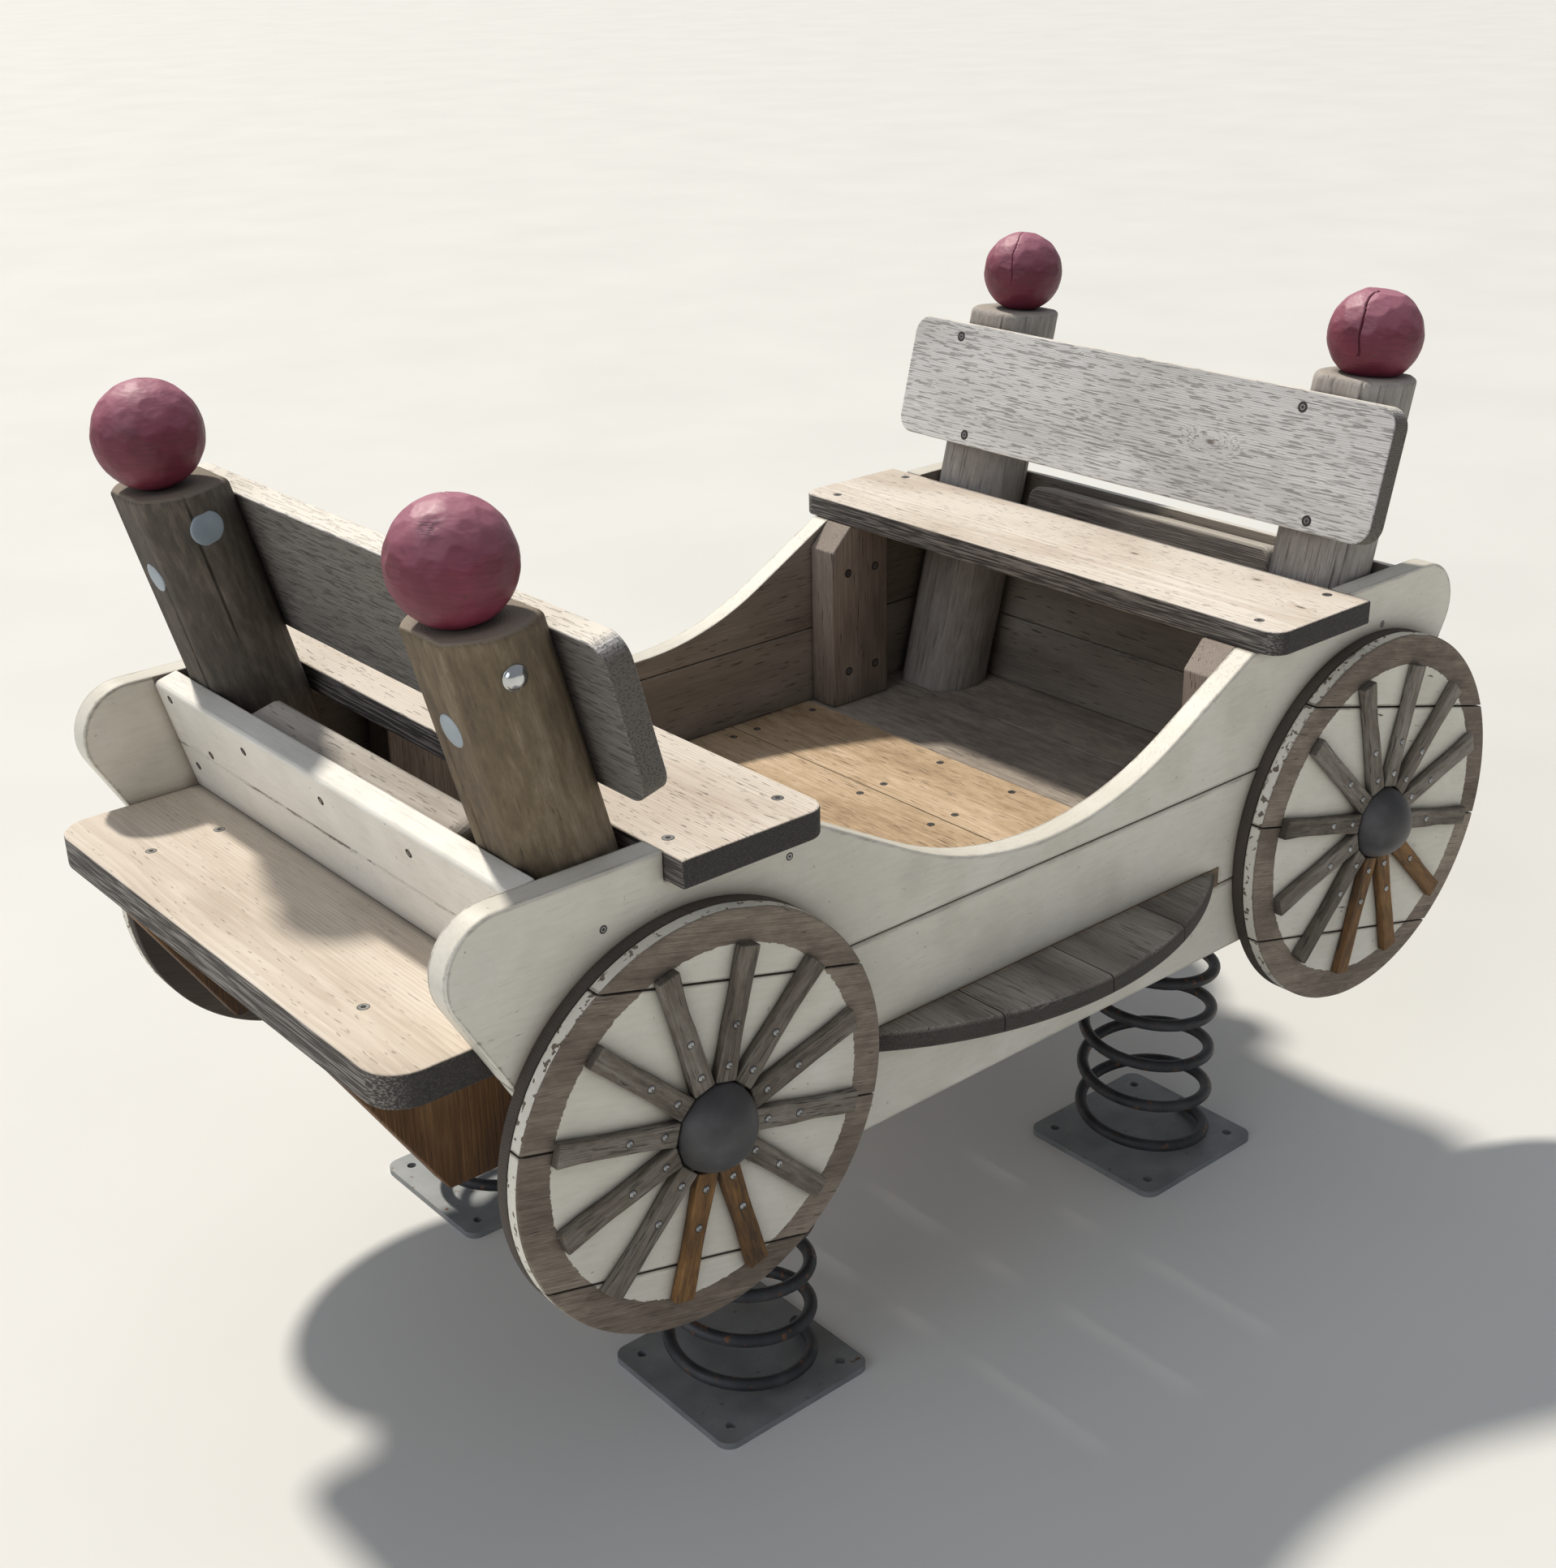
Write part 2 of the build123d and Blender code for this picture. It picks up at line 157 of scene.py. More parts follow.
# %% [markdown]
# Boards with soft edges
# A sawn and planed board has its edges broken by a few millimetres, and years of hands round them
# further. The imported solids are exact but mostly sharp, so each wooden node is copied, its loose
# triangles are merged and its edges bevelled. A shader could fake a soft edge, but only a real one
# also softens the outline. Each copy carries its own grain coordinates too: metres along the board,
# across it and through it, shifted at random so that no two boards match.

# %% Mesh helpers
random.seed(41)
SHARP, CREASE, FLAT_WITHIN = math.radians(28), math.radians(50), math.radians(0.6)
TOUCHING = 0.01 * MM


def placed(name, data):
    """An object at the origin, linked into the scene."""
    thing = bpy.data.objects.new(name, data)
    bpy.context.scene.collection.objects.link(thing)
    return thing


def hand_in(piece, node=None):
    """Hides the node that a piece stands in for, if any, and attaches the piece to the root body."""
    if node:
        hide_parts(node)
    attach(piece, "root")


def written(bm, mesh):
    """Writes a bmesh into a mesh, and frees it."""
    bm.to_mesh(mesh)
    bm.free()
    return mesh


def merged_copy(node):
    """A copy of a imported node's mesh, and a bmesh of it whose loose triangles are joined."""
    mesh = NODES[node].data.copy()
    bm = bmesh.new()
    bm.from_mesh(mesh)
    bmesh.ops.remove_doubles(bm, verts=bm.verts, dist=TOUCHING)
    return mesh, bm


def smooth(mesh, crease=None):
    """Shades the faces smooth, but for edges that turn by more than the crease."""
    mesh.polygons.foreach_set("use_smooth", [True] * len(mesh.polygons))
    if crease:
        mesh.set_sharp_from_angle(angle=crease)


def plain_mesh(piece):
    """The evaluated piece as a mesh of its own, with its modifiers gone."""
    bpy.context.view_layer.update()
    graph = bpy.context.evaluated_depsgraph_get()
    mesh = bpy.data.meshes.new_from_object(piece.evaluated_get(graph), depsgraph=graph)
    piece.modifiers.clear()
    piece.data = mesh
    mesh.name = piece.name


def skinned(name, rings):
    """A closed mesh from rings of points, each joined to the next, and both ends capped."""
    bm = bmesh.new()
    rings = [[bm.verts.new(point) for point in ring] for ring in rings]
    for lower, upper in zip(rings, rings[1:]):
        for step in range(len(lower)):
            after = (step + 1) % len(lower)
            bm.faces.new((lower[step], lower[after], upper[after], upper[step]))
    bm.faces.new(rings[0][::-1])
    bm.faces.new(rings[-1])
    bmesh.ops.recalc_face_normals(bm, faces=bm.faces)
    return written(bm, bpy.data.meshes.new(name))


print("mesh helpers ready")

# %% [markdown]
# Which way the grain runs
# Several solids share one node, so each is found by walking its edges, and gets its own shift. A UV
# map could carry the grain, but it lies on the surface alone, while a board's grain runs through it
# and has to meet at its corners. So each point stores its place in the board's own axes.

# %% Grain helpers


def connected(first):
    """All the vertices of the solid that a vertex belongs to."""
    seen, group = {first}, [first]
    for vertex in group:
        for edge in vertex.link_edges:
            other = edge.other_vert(vertex)
            if other not in seen:
                seen.add(other)
                group.append(other)
    return group


def islands(bm):
    """The separate solids of a mesh, as lists of vertices, in the order of their first vertex."""
    seen, found = set(), []
    for vertex in bm.verts:
        if vertex not in seen:
            found.append(connected(vertex))
            seen.update(found[-1])
    return found


def centre_of(group):
    """The mean place of a group of vertices."""
    return sum((v.co for v in group), Vector()) / len(group)


def board_axes(along):
    """Unit vectors along, across and through a board; the last is as level or upright as it can be."""
    along = Vector(along).normalized()
    guess = Vector((0, 0, 1)) if abs(along.z) < 0.6 else Vector((0, 1, 0))
    across = guess.cross(along).normalized()
    return along, across, along.cross(across).normalized()


def longest_way(group):
    """The direction in which a solid is longest, for parts laid at many angles such as spokes."""
    points = np.array([v.co for v in group])
    values, vectors = np.linalg.eigh(np.cov((points - points.mean(0)).T))
    return vectors[:, int(np.argmax(values))]


def fixed_way(way):
    """The same grain direction for every solid of a node."""
    return lambda group: way


def store_grain(mesh, axes_of, pith=(0.05, 0.12)):
    """Writes grain coordinates on the points, and how much each face is cut across the grain."""
    bm = bmesh.new()
    bm.from_mesh(mesh)
    bm.verts.ensure_lookup_table()
    grain = np.zeros((len(bm.verts), 3), np.float32)
    ways = {}
    for group in islands(bm):
        axes, middle = board_axes(axes_of(group)), centre_of(group)
        shift = Vector((random.uniform(-9, 9), random.uniform(-0.04, 0.04), random.uniform(*pith)))
        for v in group:
            local = v.co - middle
            grain[v.index] = [local.dot(a) + s for a, s in zip(axes, shift)]
            ways[v.index] = axes[0]
    cut = [abs(f.normal.dot(ways[f.verts[0].index])) for f in bm.faces]
    bm.free()
    mesh.attributes.new("grain", "FLOAT_VECTOR", "POINT").data.foreach_set("vector", grain.ravel())
    mesh.attributes.new("cut", "FLOAT", "FACE").data.foreach_set("value", cut)


print("grain helpers ready")

# %% [markdown]
# Dressing one board
# A modifier rounds the edges, because it finds them by their angle on any board. The spokes get one
# thing more: they were sawn and whittled by hand, so each is sliced into short lengths whose edges
# wander by a millimetre or two. They could be modelled one by one, but noise along each does the same.

# %% Board helper
SLICES, MOST_OFF = 8, 2.4 * MM


def hand_cut(bm):
    """Gives every batten of a node the uneven edges that a saw and a knife leave."""
    battens = []
    for group in islands(bm):
        way, middle = Vector(longest_way(group)), centre_of(group)
        reach = max(abs((v.co - middle).dot(way)) for v in group)
        battens.append((group[0], way, middle, reach))
    for number, (first, way, middle, reach) in enumerate(battens):
        for cut in range(1, SLICES):
            group = connected(first)
            faces = {face.index: face for v in group for face in v.link_faces}
            edges = {edge.index: edge for v in group for edge in v.link_edges}
            bmesh.ops.bisect_plane(
                bm, geom=group + list(edges.values()) + list(faces.values()),
                plane_co=middle + way * reach * (2 * cut / SLICES - 1), plane_no=way)
            bm.edges.index_update()
            bm.faces.index_update()
        across = way.cross(Vector((0, 1, 0)))
        for v in connected(first):
            side = 1 if (v.co - middle).dot(across) > 0 else -1
            along = (v.co - middle).dot(way)
            v.co += across * side * MOST_OFF * noise.noise(Vector((along * 17, side * 7.3, number * 2.9)))


def dressed(node, material, rounding, axes_of):
    """A bevelled copy of a CAD node with grain coordinates, which stands in for that node."""
    mesh, bm = merged_copy(node)
    bmesh.ops.dissolve_limit(bm, angle_limit=FLAT_WITHIN, verts=bm.verts, edges=bm.edges)
    if node.endswith("spokes"):
        hand_cut(bm)
    piece = placed(f"dressed_{node}", written(bm, mesh))
    if rounding:
        bevel = piece.modifiers.new("edge", "BEVEL")
        bevel.width = rounding
        bevel.segments = 2
        bevel.limit_method = "ANGLE"
        bevel.angle_limit = SHARP
    plain_mesh(piece)
    smooth(piece.data, CREASE)
    piece.modifiers.new("normals", "WEIGHTED_NORMAL").keep_sharp = True
    plain_mesh(piece)
    store_grain(piece.data, axes_of)
    piece.data.materials.clear()
    piece.data.materials.append(material)
    hand_in(piece, node)


print("board helper ready")

# %% [markdown]
# Weathered larch
# Larch that stands outdoors loses its colour to the sun, its soft early wood to the rain, and opens
# in many short dark splits along the grain. A picture of wood would repeat itself and bring its own
# light, so the pattern is built from the grain coordinates instead: growth
# rings are distances from a pith line outside the board, fibres and splits are noise stretched along
# it, and knots push both aside. Real rings are 2 to 4 mm apart and fibres far finer; splits are
# drawn about 1 mm wide and fibres 2 mm, so that they still show at this picture size. The look's
# rim is painted shade, over some weathering, on faces that don't look up (on the backrests, up or
# inward), and its crown is a painted highlight on faces that look straight up. Ambient occlusion
# adds painted shade in joints, splits and corners.

# %% Wood pattern
FIBRES = 1.0 / (2.2 * MM)
KNOT_STRETCH = (11.0, 4.5, 11.0)


def wood_pattern(tree, look):
    """Colour, roughness and height of weathered wood; look holds its colours and strengths."""
    grain = add(tree, "Attribute", out=1, attribute_name="grain")
    cut = add(tree, "Attribute", out=2, attribute_name="cut")
    place = add(tree, "TexCoord", out="Object")
    cell = add(tree, "Mapping", {"Vector": grain, "Scale": (2.6, 6.0, 6.0)})
    cell = add(tree, "TexVoronoi", {"Vector": cell, "Scale": 1.0}).node.outputs
    here = add(tree, "SeparateColor", (cell["Color"],))
    here = add(tree, "Math GREATER_THAN", (here, 1.0 - look["knots"]))
    knot_far = add(tree, "Mix", {0: here, 2: 1.0, 3: cell["Distance"]})
    for knot in look["knots_at"]:
        near = add(tree, "VectorMath SUBTRACT", (place, knot))
        near = add(tree, "VectorMath MULTIPLY", (near, KNOT_STRETCH))
        near = add(tree, "VectorMath LENGTH", (near,), out=1)
        knot_far = add(tree, "Math MINIMUM", (knot_far, near))

    waver = stretched(tree, grain, (1.4, 7.0, 7.0), 2.0)
    waver = add(tree, "MapRange", (waver, 0.0, 1.0, -look["waver"], look["waver"]))
    push = add(tree, "MapRange", (knot_far, 0.0, 0.32, 0.014, 0.0), interpolation_type="SMOOTHERSTEP")
    aside = add(tree, "Math ADD", (waver, push))
    bent = add(tree, "VectorMath ADD", (grain, add(tree, "CombineXYZ", (0.0, aside, aside))))
    pith_far = add(tree, "VectorMath MULTIPLY", (bent, (0.0, 1.0, 1.0)))
    pith_far = add(tree, "VectorMath LENGTH", (pith_far,), out=1)
    wobble = stretched(tree, grain, (4.0, 60.0, 60.0), 2.0)
    count = add(tree, "Math MULTIPLY_ADD", (pith_far, 1.0 / (look["ring_mm"] * MM), wobble))
    phase = add(tree, "Math FRACT", (count,))
    ring = add(tree, "ValToRGB", (phase,), stops=((0.0, 0.0), (0.78, 1.0), (1.0, 0.0)))

    fibre = stretched(tree, bent, (14.0, FIBRES, FIBRES), 3.0)
    thin = 0.5 / (look["split_mm"] * MM)
    split = stretched(tree, bent, (look["split_along"], thin, thin), 1.5)
    patch = stretched(tree, grain, (6.0, 22.0, 22.0), 2.0)
    split = add(tree, "Math MULTIPLY_ADD", (patch, look["patchy"], split))
    limit = 0.75 + 0.5 * look["patchy"] - 0.16 * look["splits"]
    split = add(tree, "MapRange", (split, limit, limit + 0.05))

    broad = add(tree, "MapRange", (stretched(tree, grain, (2.6, 9.0, 9.0), 4.0), 0.3, 0.7))
    tone = add(tree, "Mix", {0: look["fibrous"], 2: broad, 3: fibre})
    if look["mottled"]:
        mottle = stretched(tree, grain, (20.0, 75.0, 75.0), 8.0, 0.72)
        mottle = add(tree, "MapRange", (mottle, 0.32, 0.68))
        tone = add(tree, "Mix", {0: look["mottled"], 2: tone, 3: mottle})
    colour = add(tree, "ValToRGB", (tone,), stops=(
        (0.5 - look["spread"], look["dark"]), (0.5, look["mid"]), (0.5 + look["spread"], look["light"]),
    ))

    layers = [
        (add(tree, "Math MULTIPLY", (ring, look["ring_share"])), look["ring"]),
        (add(tree, "MapRange", (knot_far, 0.02, 0.16, 0.3, 0.0)), look["ring"]),
        (add(tree, "MapRange", (knot_far, 0.02, 0.05, 0.8, 0.0)), look["knot"]),
        (add(tree, "MapRange", (cut, 0.5, 0.95, 0.0, look["end_dark"])), look["end"]),
    ]
    upward = facing(tree, "Z")
    # Painted shade, over some weathering: faces that don't look up, or on the backrests inward, take the rim
    # colour.
    if "rim" in look:
        sunlit_faces = upward
        if look["sunlit_faces"] == "top and inward":
            inward = add(tree, "Math MULTIPLY", (outward(tree, place), -1.0))
            sunlit_faces = add(tree, "Math MAXIMUM", (upward, inward))
        ridge = add(tree, "MapRange", (fibre, 0.46, 0.62))
        long_grain = add(tree, "MapRange", (cut, 0.5, 0.95, 1.0, 0.15))
        ridge = add(tree, "Math MULTIPLY", (ridge, long_grain))
        rim = glazed(tree, linear(look["rim"]), [(ridge, look["rim_light"])])
        layers.append((add(tree, "MapRange", (sunlit_faces, 0.3, 0.8, 0.95, 0.0)), rim))
    layers.append((add(tree, "Math MULTIPLY", (split, look["split_dark"])), look["split"]))
    # Painted highlight: faces that look straight up take the crown colour.
    if "crown" in look:
        layers.append((add(tree, "MapRange", (upward, 0.8, 0.95, 0.0, 0.85)), look["crown"]))
    # Painted shade: the split colour darkens where other surfaces are close, in joints, splits and corners.
    crevice_shade = add(tree, "AmbientOcclusion", {"Distance": 14 * MM}, out=1, samples=4)
    layers.append((add(tree, "MapRange", (crevice_shade, 0.35, 0.8, 0.6, 0.0)), look["split"]))

    rough = add(tree, "MapRange", (fibre, 0.0, 1.0, look["rough"] - 0.1, look["rough"] + 0.1))
    relief = add(tree, "Mix", {0: 0.4, 2: fibre, 3: ring})
    height = add(tree, "Math MULTIPLY_ADD", (split, -1.4, relief))
    return glazed(tree, colour, layers), rough, height


def weathered_wood(name, look):
    """Bare weathered wood as a finished material."""
    material, tree, _ = new_material(name)
    finish_material(tree, *wood_pattern(tree, look), look["relief_mm"] * MM)
    return material


print("wood pattern ready")

# %% [markdown]
# The bare woods
# Each wood starts from common strengths and sets its own colours. The seats are bleached almost
# white by the sun, the backrests are silver grey and full of splits, the posts keep some olive brown
# of the bark side, and what the sun never reaches is dark and damp. The dark rims on faces that don't
# look up are painted shade over some weathering, and the far front post's darker copy of its timber
# is painted shade over some damp. knots_at places the few knots that the photograph shows clearly.

# %% Bare woods
COMMON = {
    "waver": 0.006, "knots": 0.35, "ring_mm": 3.2, "ring_share": 0.25, "splits": 0.35,
    "split_along": 26.0, "split_dark": 0.75, "end_dark": 0.5, "rough": 0.78, "relief_mm": 0.5,
    "split": "#37322e", "knot": "#5d5045", "spread": 0.3, "patchy": 0.22, "fibrous": 0.5,
    "split_mm": 1.2, "mottled": 0.0, "knots_at": (),
}
# Rim colours: painted shade, over some weathering, on faces that don't look up (on the backrests, up or
# inward).
RIM_DARK = {"rim": "#2f2c2b", "rim_light": "#8b8580", "sunlit_faces": "top"}
RIM_BACK = {"rim": "#635e58", "rim_light": "#757069", "sunlit_faces": "top and inward"}
# Larch left bare to the sun: nearly white on top; the near-black rims on faces that don't look up are painted
# shade over some weathering.
SEAT = weathered_wood("bleached_larch_seat", dict(
    COMMON, light="#f2ece3", mid="#e6ddd1", dark="#c6b8aa", ring="#ae957e", ring_share=0.34,
    end="#34312f", end_dark=0.95, splits=0.6, split_dark=0.55, split_along=42.0, patchy=0.12,
    knots_at=((0.541, -0.119, 0.892), (0.573, -0.323, 0.892), (0.518, -0.440, 0.892)), **RIM_DARK,
))
# Larch gone silver: a cool pale grey, full of fine splits, with a painted highlight along its top edge.
BACK = weathered_wood("silver_grey_larch", dict(
    COMMON, light="#efeeec", mid="#dedcda", dark="#bebbb8", ring="#a8a39e", end="#5c5650",
    end_dark=0.9, splits=1.1, split_dark=0.48, split_along=30.0, split_mm=1.25, patchy=0.1,
    relief_mm=0.8, crown="#f3ece0", knots_at=((0.634, -0.175, 1.058),), **RIM_BACK,
))
# The same bleached larch as the seats, a little warmer and less split.
BENCH = weathered_wood("bleached_larch_bench", dict(
    COMMON, light="#e9e0d4", mid="#dacebf", dark="#b9ab9a", ring="#a48e78", ring_share=0.24,
    end="#34312f", end_dark=0.95, splits=0.35, split_dark=0.4, split_along=42.0, patchy=0.14,
    **RIM_DARK,
))
# Larch in half shade: it keeps a dull brown grey.
INNER = weathered_wood("brown_grey_larch", dict(
    COMMON, light="#aca096", mid="#8d8177", dark="#6b6158", ring="#685b51", end="#978a7b",
    spread=0.2, splits=0.5,
))
# A pale grey board, darkened on every face but its top with painted shade.
INNER_BOARD = weathered_wood("grey_board_shaded_below_its_top", dict(
    COMMON, light="#dbd6cd", mid="#c2bbb1", dark="#9d948a", ring="#7d7063", end="#6b6057",
    splits=0.55, split_dark=0.5, split_along=36.0, rim="#57514d", rim_light="#7f7872", sunlit_faces="top",
))
# Softwood that seldom dries: dark, with little contrast.
DARK = weathered_wood("dark_damp_softwood", dict(
    COMMON, light="#655b52", mid="#4f463f", dark="#3a332e", ring="#3a322d", end="#463e38",
))
# Debarked round timber: olive brown with mottles, and a paler sawn head.
OLIVE_POST = dict(
    COMMON, light="#8d7f6c", mid="#72644e", dark="#584c3e", ring="#5d5040", end="#978c7e",
    end_dark=0.9, waver=0.002, ring_mm=4.5, ring_share=0.06, splits=0.2, split_along=40.0,
    split_dark=0.4, knots=0.3, patchy=0.1, fibrous=0.4, mottled=0.5,
)
# Painted shade over some damp: the far front post takes a darker copy of the olive timber.
SHADED_DAMP_POST = dict(OLIVE_POST, light="#6e665b", mid="#504941", dark="#3a3530", end="#8e8375")
# The same timber after more sun: silver grey and more split.
GREY_POST = dict(
    OLIVE_POST, light="#b3aea9", mid="#96908a", dark="#756f69", ring="#6c6660", end="#b7afa5",
    splits=0.6, fibrous=0.55, mottled=0.3, split_along=12.0,
)
POST = {
    "front_left": weathered_wood("olive_brown_round_timber", OLIVE_POST),
    "front_right": weathered_wood("shaded_damp_brown_round_timber", SHADED_DAMP_POST),
    "rear_left": weathered_wood("silver_grey_round_timber", GREY_POST),
    "rear_right": weathered_wood("grey_round_timber_behind", GREY_POST),
}
# Board with its old stain: warm orange brown, in dark patches.
BRACKET = weathered_wood("orange_brown_stained_board", dict(
    COMMON, light="#93704a", mid="#6c4c2d", dark="#412e1e", ring="#46311f", end="#46321f",
    ring_share=0.4, splits=0.5, knots=0.2, spread=0.2, patchy=0.4,
))
print("bare woods ready")

# %% [markdown]
# The floor and the steps are the same boards
# The middle floor boards run out through the sides and end as half-moon steps. Inside they are
# scuffed tan by shoes, outside they are dark from rain. Two materials could part the boards, but
# only along faces, so one material blends two looks where the board passes through the side.

# %% Floor boards
OUTER_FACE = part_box("right_side_upper_plank")[1].y
FLOOR_LOOK = dict(
    COMMON, light="#e6cdb0", mid="#cfb493", dark="#a98d70", ring="#a1855f", end="#5a4a3b",
    splits=0.5, knots=0.2, spread=0.24, ring_share=0.35, mottled=0.35,
)
# Painted shade: the boards under the seats take a darker, greyer copy of the floor's look.
SHADY_LOOK = dict(FLOOR_LOOK, light="#bfb3a3", mid="#a0958a", dark="#7c7268", ring="#85796c")
# The steps' rim colours are painted shade, over some weathering, on faces that don't look up.
STEP_LOOK = dict(
    COMMON, light="#a59e95", mid="#878077", dark="#605a53", ring="#5a534c", end="#3c3631",
    end_dark=0.7, splits=0.6, relief_mm=0.9, spread=0.2, rim="#3d3935", rim_light="#66605a",
    sunlit_faces="top",
)


def blended_wood(name, inside, outside, border, softness):
    """Two looks of one board, told apart by the distance from the carriage's centre line."""
    material, tree, place = new_material(name)
    width = add(tree, "Math ABSOLUTE", (add(tree, "SeparateXYZ", (place,), out=1),))
    ragged = add(tree, "TexNoise", {"Vector": place, "Scale": 60.0, "Detail": 3.0})
    ragged = add(tree, "MapRange", (ragged, 0.0, 1.0, -softness, softness))
    width = add(tree, "Math ADD", (width, ragged))
    share = add(tree, "MapRange", (width, border - softness, border + softness))
    inner, outer = wood_pattern(tree, inside), wood_pattern(tree, outside)
    colour = glazed(tree, inner[0], [(share, outer[0])])
    rough, height = (add(tree, "Mix", {0: share, 2: inner[part], 3: outer[part]}) for part in (1, 2))
    finish_material(tree, colour, rough, height, outside["relief_mm"] * MM)
    return material


FLOOR = blended_wood("scuffed_floor_and_wet_steps", FLOOR_LOOK, STEP_LOOK, OUTER_FACE, 4 * MM)
SHADY_FLOOR = weathered_wood("floor_in_painted_shade_under_the_seats", SHADY_LOOK)
print("floor boards ready")

# %% [markdown]
# White paint that flakes
# The sides, the end boards and the wheels were brushed with white outdoor paint over bare wood. It
# lets go first along the edges, where water gets in, and in splinters along the grain. Paint is too
# thin to model, so a mask in the material parts it from the wood. The mask is stretched noise raised
# near edges; a Bevel node finds the edges, because its rounded normal differs from the true one only
# there.

# %% Paint layer
PAINT_RELIEF = 0.5 * MM
WHITE = {
    "paint": "#dfdbcf", "bright": "#e8e5db", "shade": "#d2cec2", "grime": "#a69f90",
    "grime_share": 0.35, "gloss": 0.5, "edge_mm": 7.0, "edge_wear": 0.5, "region_wear": 0.12,
    "hold": 0.85, "joint": "#77624b",
}
BARE_SIDE = dict(
    COMMON, light="#a39b92", mid="#8a8278", dark="#6a6259", ring="#645b52", end="#7f746a",
    splits=0.6,
)


def paint_over(tree, place, under, painted, look, extra=0.0):
    """Finishes a material with flaking paint over a wood look, where painted is one.

    The paint comes off where wear is above the look's hold; extra wears it further.
    """
    colour, rough, height = wood_pattern(tree, under)
    grain = add(tree, "Attribute", out=1, attribute_name="grain")
    soft = add(tree, "Bevel", {"Radius": look["edge_mm"] * MM}, samples=8)
    true = add(tree, "NewGeometry", out="True Normal")
    edge = add(tree, "VectorMath DOT_PRODUCT", (soft, true), out=1)
    edge = add(tree, "MapRange", (edge, 0.84, 0.995, 1.0, 0.0))
    region = add(tree, "TexNoise", {"Vector": place, "Scale": 6.0, "Detail": 3.0})
    region = add(tree, "MapRange", (region, 0.3, 0.7))
    region = add(tree, "Math MULTIPLY", (region, look["region_wear"]))
    wear = add(tree, "Math MULTIPLY_ADD", (edge, look["edge_wear"], region))
    for more in (stretched(tree, grain, (22.0, 130.0, 130.0), 5.0, 0.62), extra):
        wear = add(tree, "Math ADD", (wear, more))
    peeled = add(tree, "MapRange", (wear, look["hold"], look["hold"] + 0.025))
    bare = add(tree, "Math SUBTRACT", (1.0, painted))
    peeled = add(tree, "Math MAXIMUM", (peeled, bare))

    streak = stretched(tree, grain, (30.0, 170.0, 170.0), 4.0)
    cloud = add(tree, "TexNoise", {"Vector": place, "Scale": 9.0, "Detail": 6.0})
    tone = add(tree, "Mix", {0: 0.75, 2: streak, 3: cloud})
    film = add(tree, "ValToRGB", (tone,), stops=(
        (0.34, look["shade"]), (0.5, look["paint"]), (0.66, look["bright"]),
    ))
    grime = add(tree, "TexNoise", {"Vector": place, "Scale": 4.5, "Detail": 8.0, "Roughness": 0.7})
    # Painted shade: the joint colour darkens where other surfaces are close, in joints, corners and under
    # edges.
    crevice_shade = add(tree, "AmbientOcclusion", {"Distance": 22 * MM}, out=1, samples=4)
    speck = add(tree, "TexNoise", {"Vector": place, "Scale": 130.0, "Detail": 2.0})
    colour = glazed(tree, film, (
        (add(tree, "MapRange", (grime, 0.52, 0.72, 0.0, look["grime_share"])), look["grime"]),
        (add(tree, "MapRange", (crevice_shade, 0.35, 0.85, 0.8, 0.0)), look["joint"]),
        (add(tree, "MapRange", (speck, 0.73, 0.77, 0.0, 0.5)), "#6f665c"),
        (peeled, colour),
    ))
    rough = add(tree, "Mix", {0: peeled, 2: look["gloss"], 3: rough})
    under = add(tree, "Math MULTIPLY", (height, 0.3))
    film_top = add(tree, "Math ADD", (under, 0.9))
    height = add(tree, "Mix", {0: peeled, 2: film_top, 3: under})
    finish_material(tree, colour, rough, height, PAINT_RELIEF)


print("paint ready")

# %% [markdown]
# Where the sides are white
# The painter did the outside, the edges and the lobes that stand past the end boards, and left the
# inside bare. On the inner faces the border follows the leaning end board, so the shader compares
# each point's distance along the carriage with that slope. The end boards are white on every face
# but the one that looks into the carriage.

# %% Painted sides and ends
INNER_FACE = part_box("rear_end_boards")[1].y
END_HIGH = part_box("rear_end_boards")[1]
BOARD_DEPTH, LEAN = 35 * MM, math.radians(14.5)
END_TOP_X, END_TOP_Z = END_HIGH.x, END_HIGH.z - BOARD_DEPTH * math.sin(LEAN)


def painted_sides(name):
    """White outside, on the edges and past the ends; bare where the children sit."""
    material, tree, place = new_material(name)
    axis = add(tree, "SeparateXYZ", (place,)).node.outputs
    along = add(tree, "Math ABSOLUTE", (axis["X"],))
    across = add(tree, "Math ABSOLUTE", (axis["Y"],))
    slope = add(tree, "Math SUBTRACT", (axis["Z"], END_TOP_Z))
    slope = add(tree, "Math MULTIPLY", (slope, math.tan(LEAN)))
    past = add(tree, "Math SUBTRACT", (along, slope))
    past = add(tree, "Math GREATER_THAN", (past, END_TOP_X))
    off_inside = add(tree, "Math GREATER_THAN", (across, INNER_FACE + 0.8 * MM))
    painted = add(tree, "Math MAXIMUM", (past, off_inside))
    lobes = add(tree, "Math MULTIPLY", (past, 0.06))
    paint_over(tree, place, BARE_SIDE, painted, dict(WHITE, edge_mm=11.0, edge_wear=0.43), lobes)
    return material


def painted_ends(name):
    """White on every face but the one that looks into the carriage."""
    material, tree, place = new_material(name)
    painted = add(tree, "Math GREATER_THAN", (outward(tree, place), -0.6))
    # Painted light: the end boards take a brighter copy of the sides' white, for the light that falls on
    # them.
    paint_over(tree, place, BARE_SIDE, painted, dict(
        WHITE, edge_wear=0.4, joint="#a8a295", paint="#e8e5dc", bright="#f0eee7", shade="#dcd9cf",
    ))
    return material


